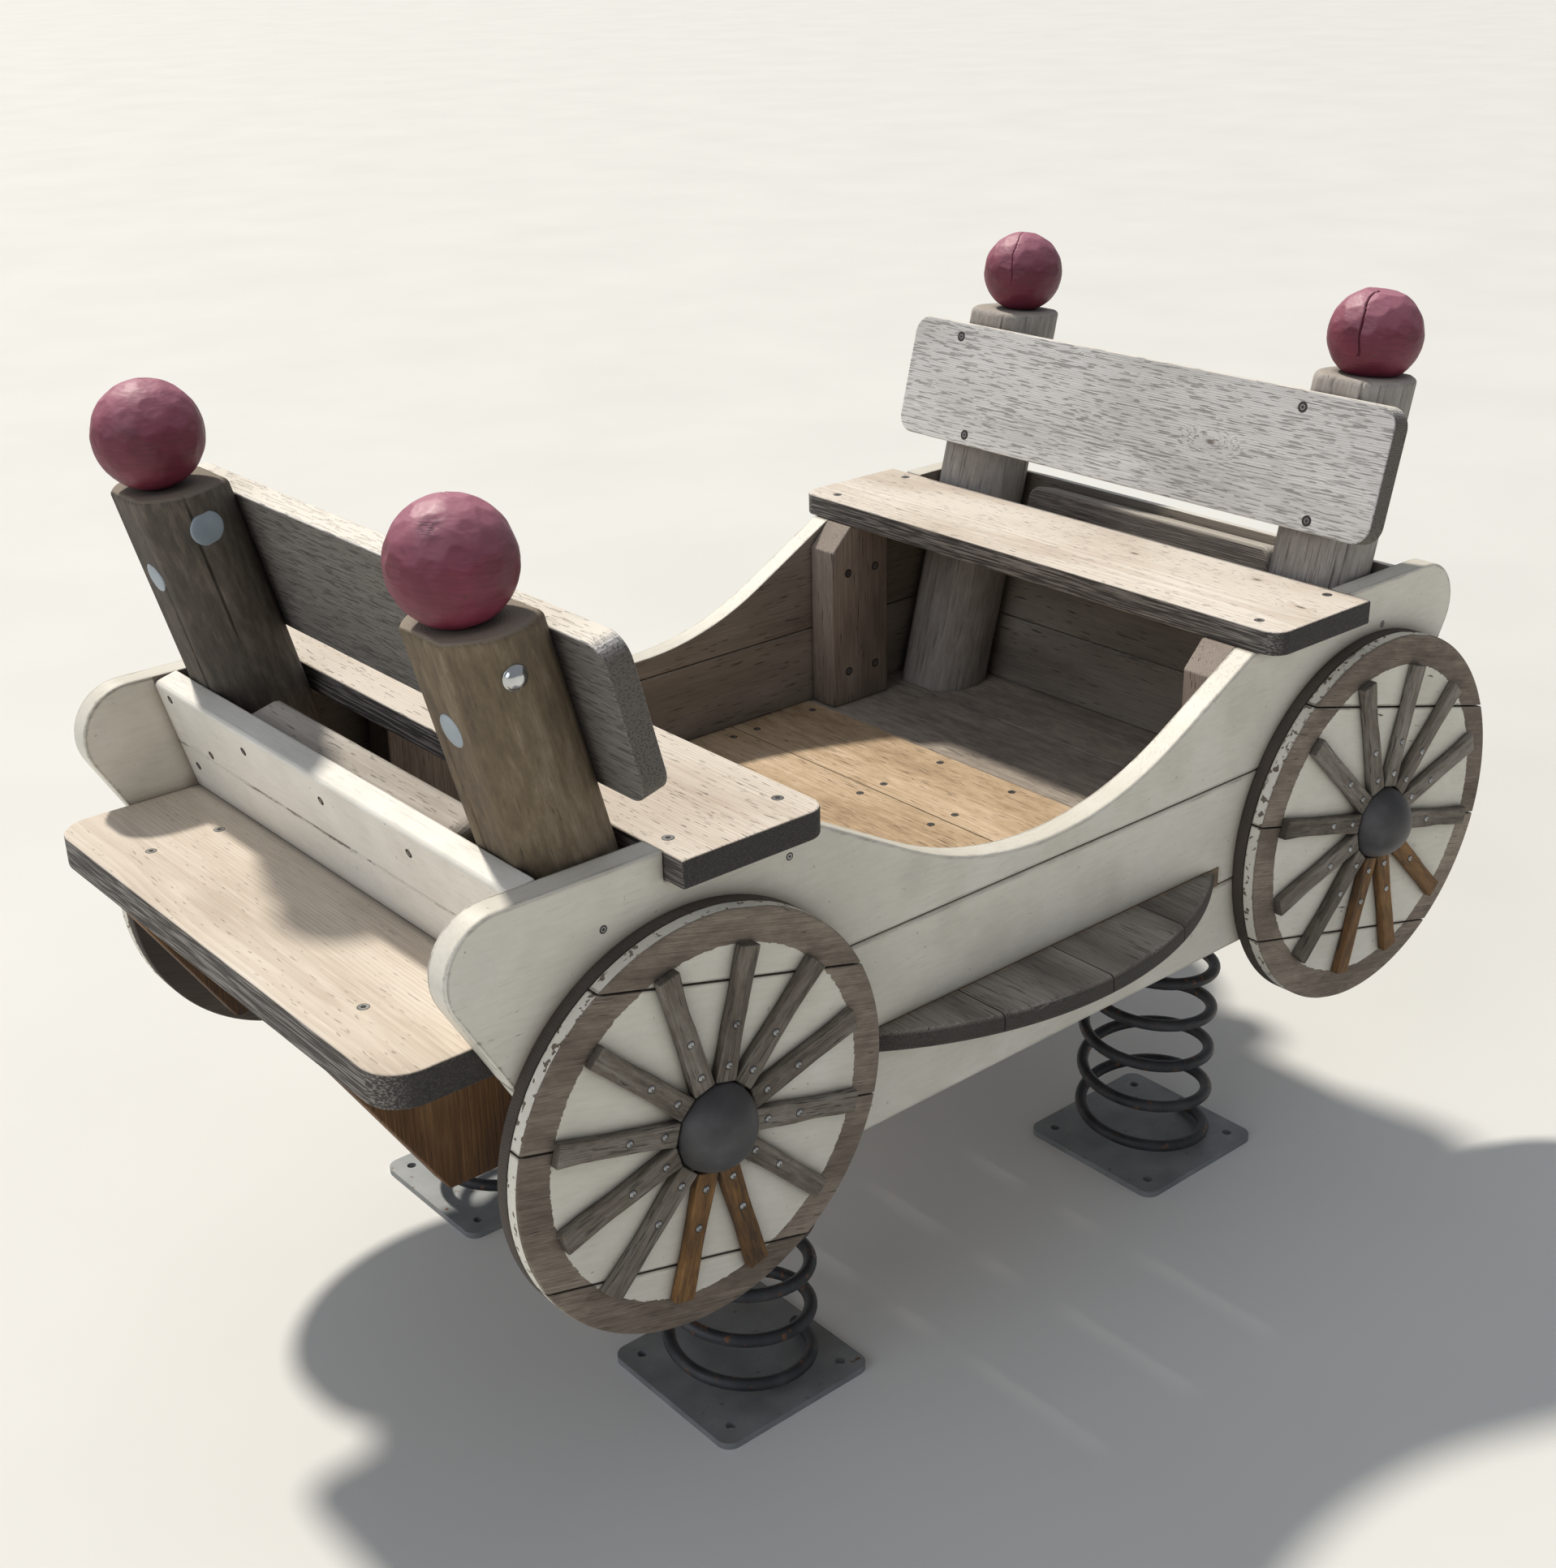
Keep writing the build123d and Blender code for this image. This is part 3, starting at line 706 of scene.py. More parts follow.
# Outdoor paint gone chalky: a warm white with a soft sheen, grey wood where it has let go. The end
# boards' brighter copy of it is painted light.
SIDE = painted_sides("flaking_white_sides")
END = painted_ends("flaking_white_end_boards")
print("painted boards ready")

# %% [markdown]
# Wheel discs
# Each wheel is a boarded disc with a white middle, a bare brown rim and a white edge. The rim's
# width follows from the spokes, which end where it begins. Rings could be cut into the mesh, but the
# painter's circle runs across whole boards, so the distance from the wheel's centre is worked out in
# the shader, for the front pair or the rear pair by the sign of X.

# %% Painted wheel boards
WHEELS = {}
for _, end in ENDS:
    low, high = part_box(f"{end}_left_wheel_boards")
    WHEELS[end] = {"x": (low.x + high.x) / 2, "z": (low.z + high.z) / 2, "r": (high.x - low.x) / 2}
WHEEL_X, WHEEL_Z, WHEEL_R = ([WHEELS[end][size] for _, end in ENDS] for size in "xzr")
RIM_WIDTHS = (42.5 * MM, 45.0 * MM)
EDGE_DEPTH = 6 * MM


def by_wheel(tree, pick, front, rear):
    """The front pair's value or the rear pair's."""
    return add(tree, "Mix", {0: pick, 2: front, 3: rear})


def from_hub(tree, place):
    """Which pair a point's wheel belongs to, and the point's X and Z from that hub."""
    axis = add(tree, "SeparateXYZ", (place,)).node.outputs
    pick = add(tree, "Math GREATER_THAN", (axis["X"], 0.0))
    x = add(tree, "Math SUBTRACT", (axis["X"], by_wheel(tree, pick, *WHEEL_X)))
    z = add(tree, "Math SUBTRACT", (axis["Z"], by_wheel(tree, pick, *WHEEL_Z)))
    return pick, x, z


def painted_wheels(name):
    """White inside the rim and on the disc's edge, bare wood on the rim's face."""
    material, tree, place = new_material(name)
    pick, x, z = from_hub(tree, place)
    radius = add(tree, "VectorMath LENGTH", (add(tree, "CombineXYZ", (x, 0.0, z)),), out=1)
    ragged = stretched(tree, place, (80.0, 80.0, 260.0), 5.0, 0.65)
    ragged = add(tree, "MapRange", (ragged, 0.0, 1.0, -4 * MM, 4 * MM))
    radius = add(tree, "Math ADD", (radius, ragged))
    border = by_wheel(tree, pick, *(r - rim for r, rim in zip(WHEEL_R, RIM_WIDTHS)))
    middle = add(tree, "Math LESS_THAN", (radius, border))
    face_on = add(tree, "Math ABSOLUTE", (facing(tree, "Y"),))
    rim_edge = add(tree, "Math LESS_THAN", (face_on, 0.5))
    outer = by_wheel(tree, pick, *(r - EDGE_DEPTH for r in WHEEL_R))
    flake = add(tree, "TexNoise", {"Vector": place, "Scale": 95.0, "Detail": 5.0})
    for part in (add(tree, "Math GREATER_THAN", (radius, outer)),
                 add(tree, "Math LESS_THAN", (flake, 0.6))):
        rim_edge = add(tree, "Math MULTIPLY", (rim_edge, part))
    painted = add(tree, "Math MAXIMUM", (middle, rim_edge))
    upper = add(tree, "MapRange", (z, 0.02, 0.2, 0.0, 0.1))
    upper = add(tree, "Math MULTIPLY", (upper, pick))
    bare = dict(COMMON, light="#a59889", mid="#7f7366", dark="#574c42", ring="#52483e", end="#5d5246",
                splits=0.45, spread=0.24, fibrous=0.55, mottled=0.25)
    paint_over(tree, place, bare, painted, dict(WHITE, region_wear=0.2, joint="#675e51"), upper)
    return material


def stained_spokes(name):
    """Grey-brown battens, but for the lower ones, whose orange-brown stain the sun hasn't reached."""
    material, tree, place = new_material(name)
    pick, x, z = from_hub(tree, place)
    aim = by_wheel(tree, pick, math.radians(-90), math.radians(-75))
    reach = by_wheel(tree, pick, math.radians(30), math.radians(45))
    off = add(tree, "Math SUBTRACT", (add(tree, "Math ARCTAN2", (z, x)), aim))
    kept = add(tree, "Math LESS_THAN", (add(tree, "Math ABSOLUTE", (off,)), reach))
    grey = wood_pattern(tree, dict(
        COMMON, light="#928c83", mid="#736b60", dark="#49423a", ring="#544838", end="#40372f",
        splits=0.7, spread=0.2, mottled=0.3))
    orange = wood_pattern(tree, dict(
        COMMON, light="#9a7344", mid="#78562f", dark="#473524", ring="#563e25", end="#40372f",
        splits=0.6, spread=0.22, mottled=0.35))
    finish_material(tree, glazed(tree, grey[0], [(kept, orange[0])]), *grey[1:], 0.5 * MM)
    return material


WHEEL = painted_wheels("boarded_wheel_disc")
SPOKE = stained_spokes("battens_with_some_stain_left")
print("painted woods ready", WHEELS)

# %% [markdown]
# Dress every board
# One table says which material, which grain direction and how much rounding each node gets. Boards
# that lie across the carriage have their grain along Y, the side planks along X, the wheel boards
# along their own turned direction, and each spoke along itself.

# %% Board table
ACROSS, ALONG, UP = (fixed_way(way) for way in ((0, 1, 0), (1, 0, 0), (0, 0, 1)))
TURN = math.radians(-15)
WHEEL_WAY = fixed_way((math.cos(TURN), 0, math.sin(TURN)))
BOARDS = [
    # node, material, slot, rounding in mm, grain direction; a star is front and then rear
    ("*_seat", SEAT, "seat_wood", 2.5, ACROSS),
    ("driver_bench", BENCH, "seat_wood", 2.5, ACROSS),
    ("*_backrest", BACK, "back_wood", 0.0, ACROSS),
    ("*_inner_board", INNER_BOARD, "post_wood", 6.0, ACROSS),
    ("*_end_boards", END, "white_paint", 2.5, ACROSS),
    ("*_end_bottom_board", END, "dark_wood", 2.5, ACROSS),
    ("step_floor_boards", FLOOR, "floor_wood", 2.0, ACROSS),
    ("*_floor_boards", SHADY_FLOOR, "floor_wood", 2.0, ACROSS),
    ("floor_bearers", DARK, "dark_wood", 3.0, ALONG),
    ("cross_beams", DARK, "dark_wood", 3.0, ACROSS),
    ("bench_brackets", BRACKET, "bracket_wood", 2.5, UP),
    ("left_corner_blocks", INNER, "post_wood", 2.5, UP),
    ("right_corner_blocks", INNER, "post_wood", 2.5, UP),
]
for _, hand in HANDS:
    for plank in ("lower", "middle", "upper"):
        BOARDS.append((f"{hand}_side_{plank}_plank", SIDE, "white_paint", 2.0, ALONG))
    for _, end in ENDS:
        wheel = f"{end}_{hand}_wheel"
        BOARDS.append((f"{wheel}_backing", DARK, "dark_wood", 0.0, WHEEL_WAY))
        BOARDS.append((f"{wheel}_boards", WHEEL, "wheel_wood", 1.5, WHEEL_WAY))
        BOARDS.append((f"{wheel}_spokes", SPOKE, "spoke_wood", 2.0, longest_way))
for node, material, slot, rounding, way in BOARDS:
    for end in ("front", "rear") if "*" in node else ("",):
        dressed(node.replace("*", end), material, rounding * MM, way)
print("boards dressed", len(BOARDS), "rows")

# %% [markdown]
# Round posts
# The posts are debarked trunks, 145 mm thick, that lean outwards with the ends. Two flats, 124 mm
# apart, are planed on each for the end boards and the backrest. A debarked trunk isn't a turned
# cylinder: the drawknife leaves long shallow facets, it swells a little at knots, and as it dries
# it opens in deep checks. The heads were sawn nearly level rather than square to the trunk, and
# hands have rounded their rims, most of all on the side towards the seat. All of this could be
# sculpted, but then nothing could be read or changed. So each post is built as a grid of rings and
# rows, with all of it worked into the radius, and its foot is cut level where it stands on the floor.

# %% Post shape
POST_R, POST_FLAT, POST_CHAMFER = 72.5 * MM, 62 * MM, 7 * MM
HEAD_TILT = math.radians(10)
FLOOR_TOP_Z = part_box("step_floor_boards")[1].z
POST_RINGS, POST_ROWS, RIM_ROWS = 144, 110, 7
FACETS, LONG_CHECKS, HEAD_CHECKS = 7, 3, 9
CHECK_DEPTH, CHECK_WIDTH, SWELLING = 3.5 * MM, 0.035, 0.8 * MM
FACET_FROM, FACET_SPAN, FADE, WANDER = 0.9, 0.1, 0.1, 0.10
WORN_TO_SEAT, WORN_UNEVEN, HEAD_BLEND = 0.6, 0.5, 6
POST_CREASE = math.radians(32)
FULL_TURN, SIDEWAYS = 2 * math.pi, Vector((0, 1, 0))


def post_head(name):
    """A post's head from its packed box: the middle, the way the trunk runs, the way the cut faces."""
    low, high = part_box(f"{name}_post")
    end = 1 if name.startswith("rear") else -1
    edge = POST_FLAT * math.cos(LEAN) - POST_CHAMFER * math.sin(LEAN)
    middle = Vector(((high.x if end > 0 else low.x) - end * edge, (low.y + high.y) / 2,
                     high.z - (POST_FLAT - POST_CHAMFER) * math.sin(LEAN)))
    way, face = (Vector((end * math.sin(lean), 0, math.cos(lean))) for lean in (LEAN, LEAN - HEAD_TILT))
    return middle, way, face


def within(value):
    """The value, held between nought and one."""
    return min(1.0, max(0.0, value))


def trunk_radius(angle, down, share, facets, checks, offset):
    """The trunk's radius at one point: round, with flats, facets, swellings and drying checks."""
    radius = min(POST_R, POST_FLAT / max(abs(math.cos(angle)), 1e-6))
    for centre, depth in facets:
        near = math.cos(angle - centre)
        if near > FACET_FROM:
            radius -= depth * MM * (near - FACET_FROM) / FACET_SPAN
    radius += noise.noise(offset + Vector((down * 5.0, math.cos(angle), math.sin(angle)))) * SWELLING
    for centre, first, last in checks:
        wander = WANDER * noise.noise(offset + Vector((down * 6.0, centre, 0)))
        gap = abs((angle - centre - wander + math.pi) % FULL_TURN - math.pi)
        fade = within((share - first) / FADE) * within((last - share) / FADE)
        radius -= CHECK_DEPTH * max(0.0, 1 - gap / CHECK_WIDTH) * fade
    return min(radius, POST_R)


def post_mesh(name, seed):
    """A leaning trunk from the floor up, with a worn rim round its nearly level head."""
    chance = random.Random(seed)
    head, way, face = post_head(name)
    out = SIDEWAYS.cross(way)
    inward = -1 if name.startswith("rear") else 1
    facets = [(chance.uniform(0, FULL_TURN), chance.uniform(0.6, 1.4)) for _ in range(FACETS)]
    checks = [(chance.uniform(0, FULL_TURN), chance.uniform(0.15, 0.6), chance.uniform(0.8, 1.1))
              for _ in range(LONG_CHECKS)]
    if name.startswith("rear"):
        checks += [(chance.uniform(0, FULL_TURN), chance.uniform(0.78, 0.88), 1.2)
                   for _ in range(HEAD_CHECKS)]
    offset = Vector((seed * 3.1, 0, 0))
    rows = []
    for row in range(POST_ROWS + RIM_ROWS + 1):
        rows.append([])
        for step in range(POST_RINGS):
            angle = FULL_TURN * step / POST_RINGS
            spoke = math.cos(angle) * out + math.sin(angle) * SIDEWAYS
            length = ((head + spoke * POST_R).z - FLOOR_TOP_Z) / way.z
            share = min(1.0, row / POST_ROWS)
            worn = POST_CHAMFER * (1.0 + WORN_TO_SEAT * max(0.0, inward * math.cos(angle))
                                   + WORN_UNEVEN * noise.noise(offset + spoke * 2.0))
            down = length + (worn - length) * share
            radius = trunk_radius(angle, down, share, facets, checks, offset)
            if row > POST_ROWS:
                turn = math.pi / 2 * (row - POST_ROWS) / RIM_ROWS
                radius -= worn * (1 - math.cos(turn))
                down = worn * (1 - math.sin(turn))
            near_head = min(1.0, max(0.0, 1 - down / length) ** HEAD_BLEND)
            down += near_head * radius * spoke.dot(face) / way.dot(face)
            place = head - way * down + spoke * radius
            place.z = max(place.z, FLOOR_TOP_Z)
            rows[-1].append(place)
    return skinned(f"dressed_{name}_post", rows)


for seed, name in enumerate(CORNERS):
    mesh = post_mesh(name, seed + 1)
    piece = placed(f"dressed_{name}_post", mesh)
    smooth(mesh, POST_CREASE)
    store_grain(mesh, fixed_way(post_head(name)[1]), pith=(0.0, 0.0))
    mesh.materials.append(POST[name])
    hand_in(piece, f"{name}_post")
print("posts", len(mesh.polygons), "faces each")

# %% [markdown]
# Raspberry balls
# The balls are cut by hand and no two are one size: up close they are covered with flats from the
# rasp, each has a drying check, the near rear one also a flattened crown, and all wear a matt
# raspberry paint whose brush strokes run round them. Bump could fake the flats, but not where they
# show in the outline. So a sphere is cut back by many planes just under its surface, which is what a
# rasp does, and by the plane of the head on which the ball stands.

# %% Ball shape
FLATS = 84
RASPED_MM, SOFT, UNEVEN, CRACK_WANDER = (0.5, 1.6), 0.18 * MM, 0.5 * MM, 0.06
GOLDEN, GRAZING = math.pi * (3 - math.sqrt(5)), 0.5
CRACKS = {
    # bearing in degrees from +X, lowest and half width as parts of the radius, depth and crown in mm
    "front_left": {"bearing": 60, "lowest": 0.2, "half_width": 0.02, "depth": 1.5, "crown": 0},
    "front_right": {"bearing": 20, "lowest": 0.0, "half_width": 0.02, "depth": 1.5, "crown": 0},
    "rear_left": {"bearing": 195, "lowest": -0.3, "half_width": 0.03, "depth": 3.5, "crown": 6},
    "rear_right": {"bearing": 205, "lowest": -0.2, "half_width": 0.02, "depth": 2.0, "crown": 0},
}


def rasp_planes(radius, seed, crown):
    """The planes that a rasp leaves: their outward directions, and their distances from the centre."""
    chance = random.Random(seed)
    ways, depths = [], []
    for number in range(FLATS):
        rise = 1 - 2 * (number + 0.5) / FLATS
        turn = GOLDEN * number + chance.uniform(-0.12, 0.12)
        level = math.sqrt(1 - rise * rise)
        way = Vector((level * math.cos(turn), level * math.sin(turn), rise + chance.uniform(-0.05, 0.05)))
        ways.append(way.normalized())
        depths.append(radius - chance.uniform(*RASPED_MM) * (1.0 if rise > 0.0 else 0.5) * MM)
    if crown:
        ways.append(Vector((0.1, -0.1, 1)).normalized())
        depths.append(radius - crown * MM)
    return ways, depths


def ball_mesh(name, seed, crack):
    """A ball cut back by evenly spread planes with worn edges, with its seat and its drying check."""
    low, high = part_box(f"{name}_ball")
    radius = (high.x - low.x) / 2
    centre = Vector(((low.x + high.x) / 2, (low.y + high.y) / 2, high.z - radius))
    head, _, face = post_head(name)
    seat = (centre - head).dot(face)
    ways, depths = rasp_planes(radius, seed, crack["crown"])
    bm = bmesh.new()
    bmesh.ops.create_icosphere(bm, subdivisions=7, radius=1.0)
    points = np.array([v.co.normalized() for v in bm.verts])
    planes = np.array(depths) / np.maximum(points @ np.array(ways).T, GRAZING)
    planes = np.column_stack([planes, np.full(len(points), radius)])
    nearest = planes.min(1)
    worn = nearest - SOFT * np.log(np.exp((nearest[:, None] - planes) / SOFT).sum(1))
    toward = math.radians(crack["bearing"])
    toward = Vector((math.cos(toward), math.sin(toward), 0))
    sideways = toward.cross(Vector((0, 0, 1)))
    own = Vector((seed, 0, 0))
    for v, point, reach in zip(bm.verts, points, worn):
        way = Vector(point)
        reach = float(reach) - abs(noise.noise(way * 6.0 + own)) * UNEVEN
        off = abs(way.dot(sideways) + CRACK_WANDER * noise.noise(way * 3.5 + own))
        if off < crack["half_width"] and way.dot(toward) > 0 and way.z > crack["lowest"]:
            reach -= crack["depth"] * MM * (1 - off / crack["half_width"])
        drop = -way.dot(face)
        if drop > 0:
            reach = min(reach, seat / drop)
        v.co = centre + way * reach
    return written(bm, bpy.data.meshes.new(f"dressed_{name}_ball"))


print("ball shape ready")

# %% [markdown]
# The balls' paint was brushed on, so its strokes are noise squeezed along one slanting axis. It is
# pinker on faces that look up, painted light over paint that the sun has faded, is rubbed dark at one
# spot, and is chipped in a few; painted shade darkens its check.

# %% Ball paint
RUBBED = (-0.8148, -0.3747, 1.2784)
BRUSHED, SCRATCHED = (0.45, 0.3, 0.0), (0.9, 0.5, 0.0)


def ball_paint(name):
    """Brushed matt paint on rasped wood, pinker on top with painted light over fading, and chipped down to
    the wood in places.
    """
    material, tree, place = new_material(name)
    stroke = stretched(tree, place, (30.0, 30.0, 330.0), 3.0, turned=BRUSHED)
    cloud = add(tree, "TexNoise", {"Vector": place, "Scale": 16.0, "Detail": 5.0})
    tone = add(tree, "Mix", {0: 0.65, 2: stroke, 3: cloud})
    colour = add(tree, "ValToRGB", (tone,), stops=((0.3, "#501728"), (0.5, "#661f33"), (0.7, "#7b2d43")))
    upward = facing(tree, "Z", "Normal")
    rubbed = add(tree, "VectorMath SUBTRACT", (place, RUBBED))
    rubbed = add(tree, "VectorMath LENGTH", (rubbed,), out=1)
    rubbed = add(tree, "MapRange", (rubbed, 4 * MM, 17 * MM, 0.85, 0.0))
    hatch = stretched(tree, place, (120.0, 120.0, 900.0), 2.0, turned=SCRATCHED)
    hatch = add(tree, "MapRange", (hatch, 0.38, 0.6))
    chip = stretched(tree, place, (60.0, 60.0, 240.0), 3.0, turned=BRUSHED)
    chip = add(tree, "Math MULTIPLY_ADD", (cloud, 0.35, chip))
    chip = add(tree, "MapRange", (chip, 0.92, 0.96))
    # Painted shade: darker within 5 mm of other surfaces, in the check and where the ball meets the head.
    ball_crevice_shade = add(tree, "AmbientOcclusion", {"Distance": 5 * MM}, out=1, samples=4)
    # Painted light over sun-faded paint: faces that look up turn pinker.
    colour = glazed(tree, colour, (
        (add(tree, "MapRange", (upward, 0.15, 1.0, 0.0, 0.7)), "#cc8a9e"),
        (add(tree, "Math MULTIPLY", (rubbed, hatch)), "#3b2530"),
        (chip, "#5f4640"),
        (add(tree, "MapRange", (ball_crevice_shade, 0.3, 0.75, 0.85, 0.0)), "#45232b"),
    ))
    rough = add(tree, "MapRange", (cloud, 0.0, 1.0, 0.4, 0.62))
    height = add(tree, "Math SUBTRACT", (stroke, chip))
    finish_material(tree, colour, rough, height, 0.5 * MM)
    return material


PINK = ball_paint("brushed_matt_raspberry_paint")
for seed, name in enumerate(CORNERS):
    mesh = ball_mesh(name, seed + 11, CRACKS[name])
    smooth(mesh, CREASE)
    mesh.materials.append(PINK)
    hand_in(placed(f"dressed_{name}_ball", mesh), f"{name}_ball")
print("balls", len(mesh.polygons), "faces each")

# %% [markdown]
# Hubs and plates
# The hub domes are charcoal plastic caps, dulled by dust, and the springs' plates are galvanised
# steel. Both are round or flat enough as packed, so they only need a smooth copy and a coat: cloudy
# tone, fine orange peel, and spots of rust or dust where a second noise is high.

# %% Dark finishes


def coated(name, colours, gloss, metallic, rust, grain_mm):
    """A coat in three tones; the fourth colour is the spots that show above the rust level."""
    material, tree, place = new_material(name)
    cloud = add(tree, "TexNoise", {"Vector": place, "Scale": 22.0, "Detail": 6.0})
    colour = add(tree, "ValToRGB", (cloud,), stops=tuple(zip((0.3, 0.52, 0.72), colours)))
    spots = add(tree, "TexNoise", {"Vector": place, "Scale": 75.0, "Detail": 6.0})
    spots = add(tree, "MapRange", (spots, rust, rust + 0.08))
    colour = glazed(tree, colour, [(spots, colours[3])])
    rough = add(tree, "MapRange", (cloud, 0.0, 1.0, gloss - 0.1, gloss + 0.12))
    peel = add(tree, "TexNoise", {"Vector": place, "Scale": 1.0 / (grain_mm * MM), "Detail": 2.0})
    height = add(tree, "Math ADD", (peel, spots))
    finish_material(tree, colour, rough, height, 0.15 * MM, metallic)
    return material


def smooth_copy(node, material):
    """A merged, smooth-shaded copy of a CAD node that is already round enough."""
    mesh, bm = merged_copy(node)
    smooth(written(bm, mesh), SHARP)
    mesh.materials.clear()
    mesh.materials.append(material)
    hand_in(placed(f"dressed_{node}", mesh), node)


# Moulded plastic under dust: charcoal, with a broad soft highlight.
HUB = coated("charcoal_moulded_plastic", ("#393839", "#464546", "#575557", "#7c7873"), 0.5, 0.0, 0.74, 2.0)
# Powder coat: dark and satin, with rust where it is chipped.
SPRING = coated("dark_powder_coated_steel", ("#2a2b2e", "#3a3b3e", "#4c4c4e", "#6a4a36"), 0.5, 0.3, 0.6, 2.5)
# Galvanised steel: pale, matt and cloudy, with rust specks.
PLATE = coated("galvanised_steel_plate", ("#858889", "#919495", "#9d9f9f", "#70523d"), 0.62, 0.5, 0.66, 3.0)
smooth_copy("wheel_hubs", HUB)
smooth_copy("spring_top_plates", PLATE)
for name in CORNERS:
    smooth_copy(f"{name}_base_plate", PLATE)
print("dark finishes ready")

# %% [markdown]
# Geometry Nodes helpers
# A tree is made once with named inputs, then given to a piece, whose own numbers go in through
# the sockets' identifiers. The evaluated result is kept as a plain mesh, because only meshes ride.

# %% Tree helpers


def new_tree(name, sizes):
    """A geometry tree with one geometry input, named size inputs and an output."""
    tree = bpy.data.node_groups.new(name, "GeometryNodeTree")
    for way in ("INPUT", "OUTPUT"):
        tree.interface.new_socket("Geometry", in_out=way, socket_type="NodeSocketGeometry")
    for label, value in sizes.items():
        socket = tree.interface.new_socket(label, in_out="INPUT", socket_type="NodeSocketFloat")
        socket.default_value = value
    start = tree.nodes.new("NodeGroupInput")
    return tree, {socket.name: socket for socket in start.outputs if socket.name}


def end_tree(tree, shape, material):
    """Every tree ends the same way: real geometry, the finish, the output."""
    solid = add(tree, "GeometryNodeRealizeInstances", (shape,))
    done = add(tree, "GeometryNodeSetMaterial", {"Geometry": solid, "Material": material})
    tree.links.new(done, tree.nodes.new("NodeGroupOutput").inputs[0])


def grow(name, mesh, tree, sizes, node=None):
    """Runs a tree on a mesh with this piece's own sizes, and keeps the result as a plain mesh."""
    piece = placed(name, mesh)
    modifier = piece.modifiers.new("tree", "NODES")
    modifier.node_group = tree
    sockets = {item.name: item.identifier for item in tree.interface.items_tree if item.in_out == "INPUT"}
    for label, value in sizes.items():
        modifier[sockets[label]] = value
    plain_mesh(piece)
    hand_in(piece, node)


print("tree helpers ready")

# %% [markdown]
# Coil springs
# The springs are playground springs: 18 mm spring steel, powder coated dark, with the coat worn and
# some rust. A Screw modifier could wind one too, but a spring follows a rule, and in a node tree its
# sizes can be read straight from the inputs. So a spiral is swept with a circle. The sizes are those
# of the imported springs, which have a flat-sided wire to stay light; this one is round.

# %% Springs
SPRING_LOW, SPRING_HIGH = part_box("front_left_spring")
WIRE, COIL_OUT, PITCH = 18 * MM, 210 * MM, 71 * MM
TURNS = (SPRING_HIGH.z - SPRING_LOW.z - WIRE) / PITCH
spring_tree, size = new_tree("coil_spring", {
    "Turns": TURNS, "Coil radius": 0.1, "Wire radius": WIRE / 2, "Rise": 0.3,
    "Place X": 0.0, "Place Y": 0.0, "Place Z": 0.0,
})
helix = add(spring_tree, "GeometryNodeCurveSpiral", {
    "Resolution": 48, "Rotations": size["Turns"], "Start Radius": size["Coil radius"],
    "End Radius": size["Coil radius"], "Height": size["Rise"],
})
section = add(spring_tree, "GeometryNodeCurvePrimitiveCircle", {
    "Resolution": 18, "Radius": size["Wire radius"],
})
wire = add(spring_tree, "GeometryNodeCurveToMesh", {
    "Curve": helix, "Profile Curve": section, "Fill Caps": True,
})
where = add(spring_tree, "CombineXYZ", [size[f"Place {axis}"] for axis in "XYZ"])
wire = add(spring_tree, "GeometryNodeTransform", {"Geometry": wire, "Translation": where})
wire = add(spring_tree, "GeometryNodeSetShadeSmooth", {"Geometry": wire, "Shade Smooth": True})
end_tree(spring_tree, wire, SPRING)
for name in CORNERS:
    node = f"{name}_spring"
    low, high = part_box(node)
    grow(f"round_{node}", bpy.data.meshes.new(node), spring_tree, {
        "Turns": TURNS, "Coil radius": (COIL_OUT - WIRE) / 2, "Rise": high.z - low.z - WIRE,
        "Place X": (low.x + high.x) / 2, "Place Y": (low.y + high.y) / 2, "Place Z": low.z + WIRE / 2,
    }, node)
print("springs with", round(TURNS, 2), "turns")

# %% [markdown]
# Screws
# Everything is held by stainless screws: countersunk ones with a star drive in the boards, each in a
# little well in the wood, and small round heads in the spokes. Each well is a dark disc: painted
# shade of the recess, over damp wood. Geometry Nodes put a well and a head on every point of a cloud
# of points and turn them to the face they sit on. The points come from rays shot at the dressed
# boards, so no screw can float.

# %% Screw trees
# Turned stainless steel: bright, with a blurred highlight.
STAINLESS = coated("stainless_screw", ("#88898a", "#a2a3a3", "#bdbdbc", "#6f6154"), 0.34, 0.9, 0.62, 1.2)
# Painted shade of the recess round a screw, over damp wood: nearly black, and dull.
WELL_DARK = coated("dark_wood_round_a_screw", ("#2f2925", "#3a332e", "#47403a", "#2a2522"),
                   0.85, 0.0, 0.66, 1.5)


def star_drive(tree, shape, head, inner, outer, low, high):
    """Cuts a star recess into a head; the star's radii are shares of the head's width."""
    inner, outer = (add(tree, "Math MULTIPLY", (head, share)) for share in (inner, outer))
    star = add(tree, "GeometryNodeCurveStar", {"Points": 6, "Inner Radius": inner, "Outer Radius": outer})
    line = add(tree, "GeometryNodeCurvePrimitiveLine", {"Start": (0, 0, low), "End": (0, 0, high)})
    drive = add(tree, "GeometryNodeCurveToMesh", {"Curve": line, "Profile Curve": star, "Fill Caps": True})
    return add(tree, "GeometryNodeMeshBoolean DIFFERENCE", (shape, drive))


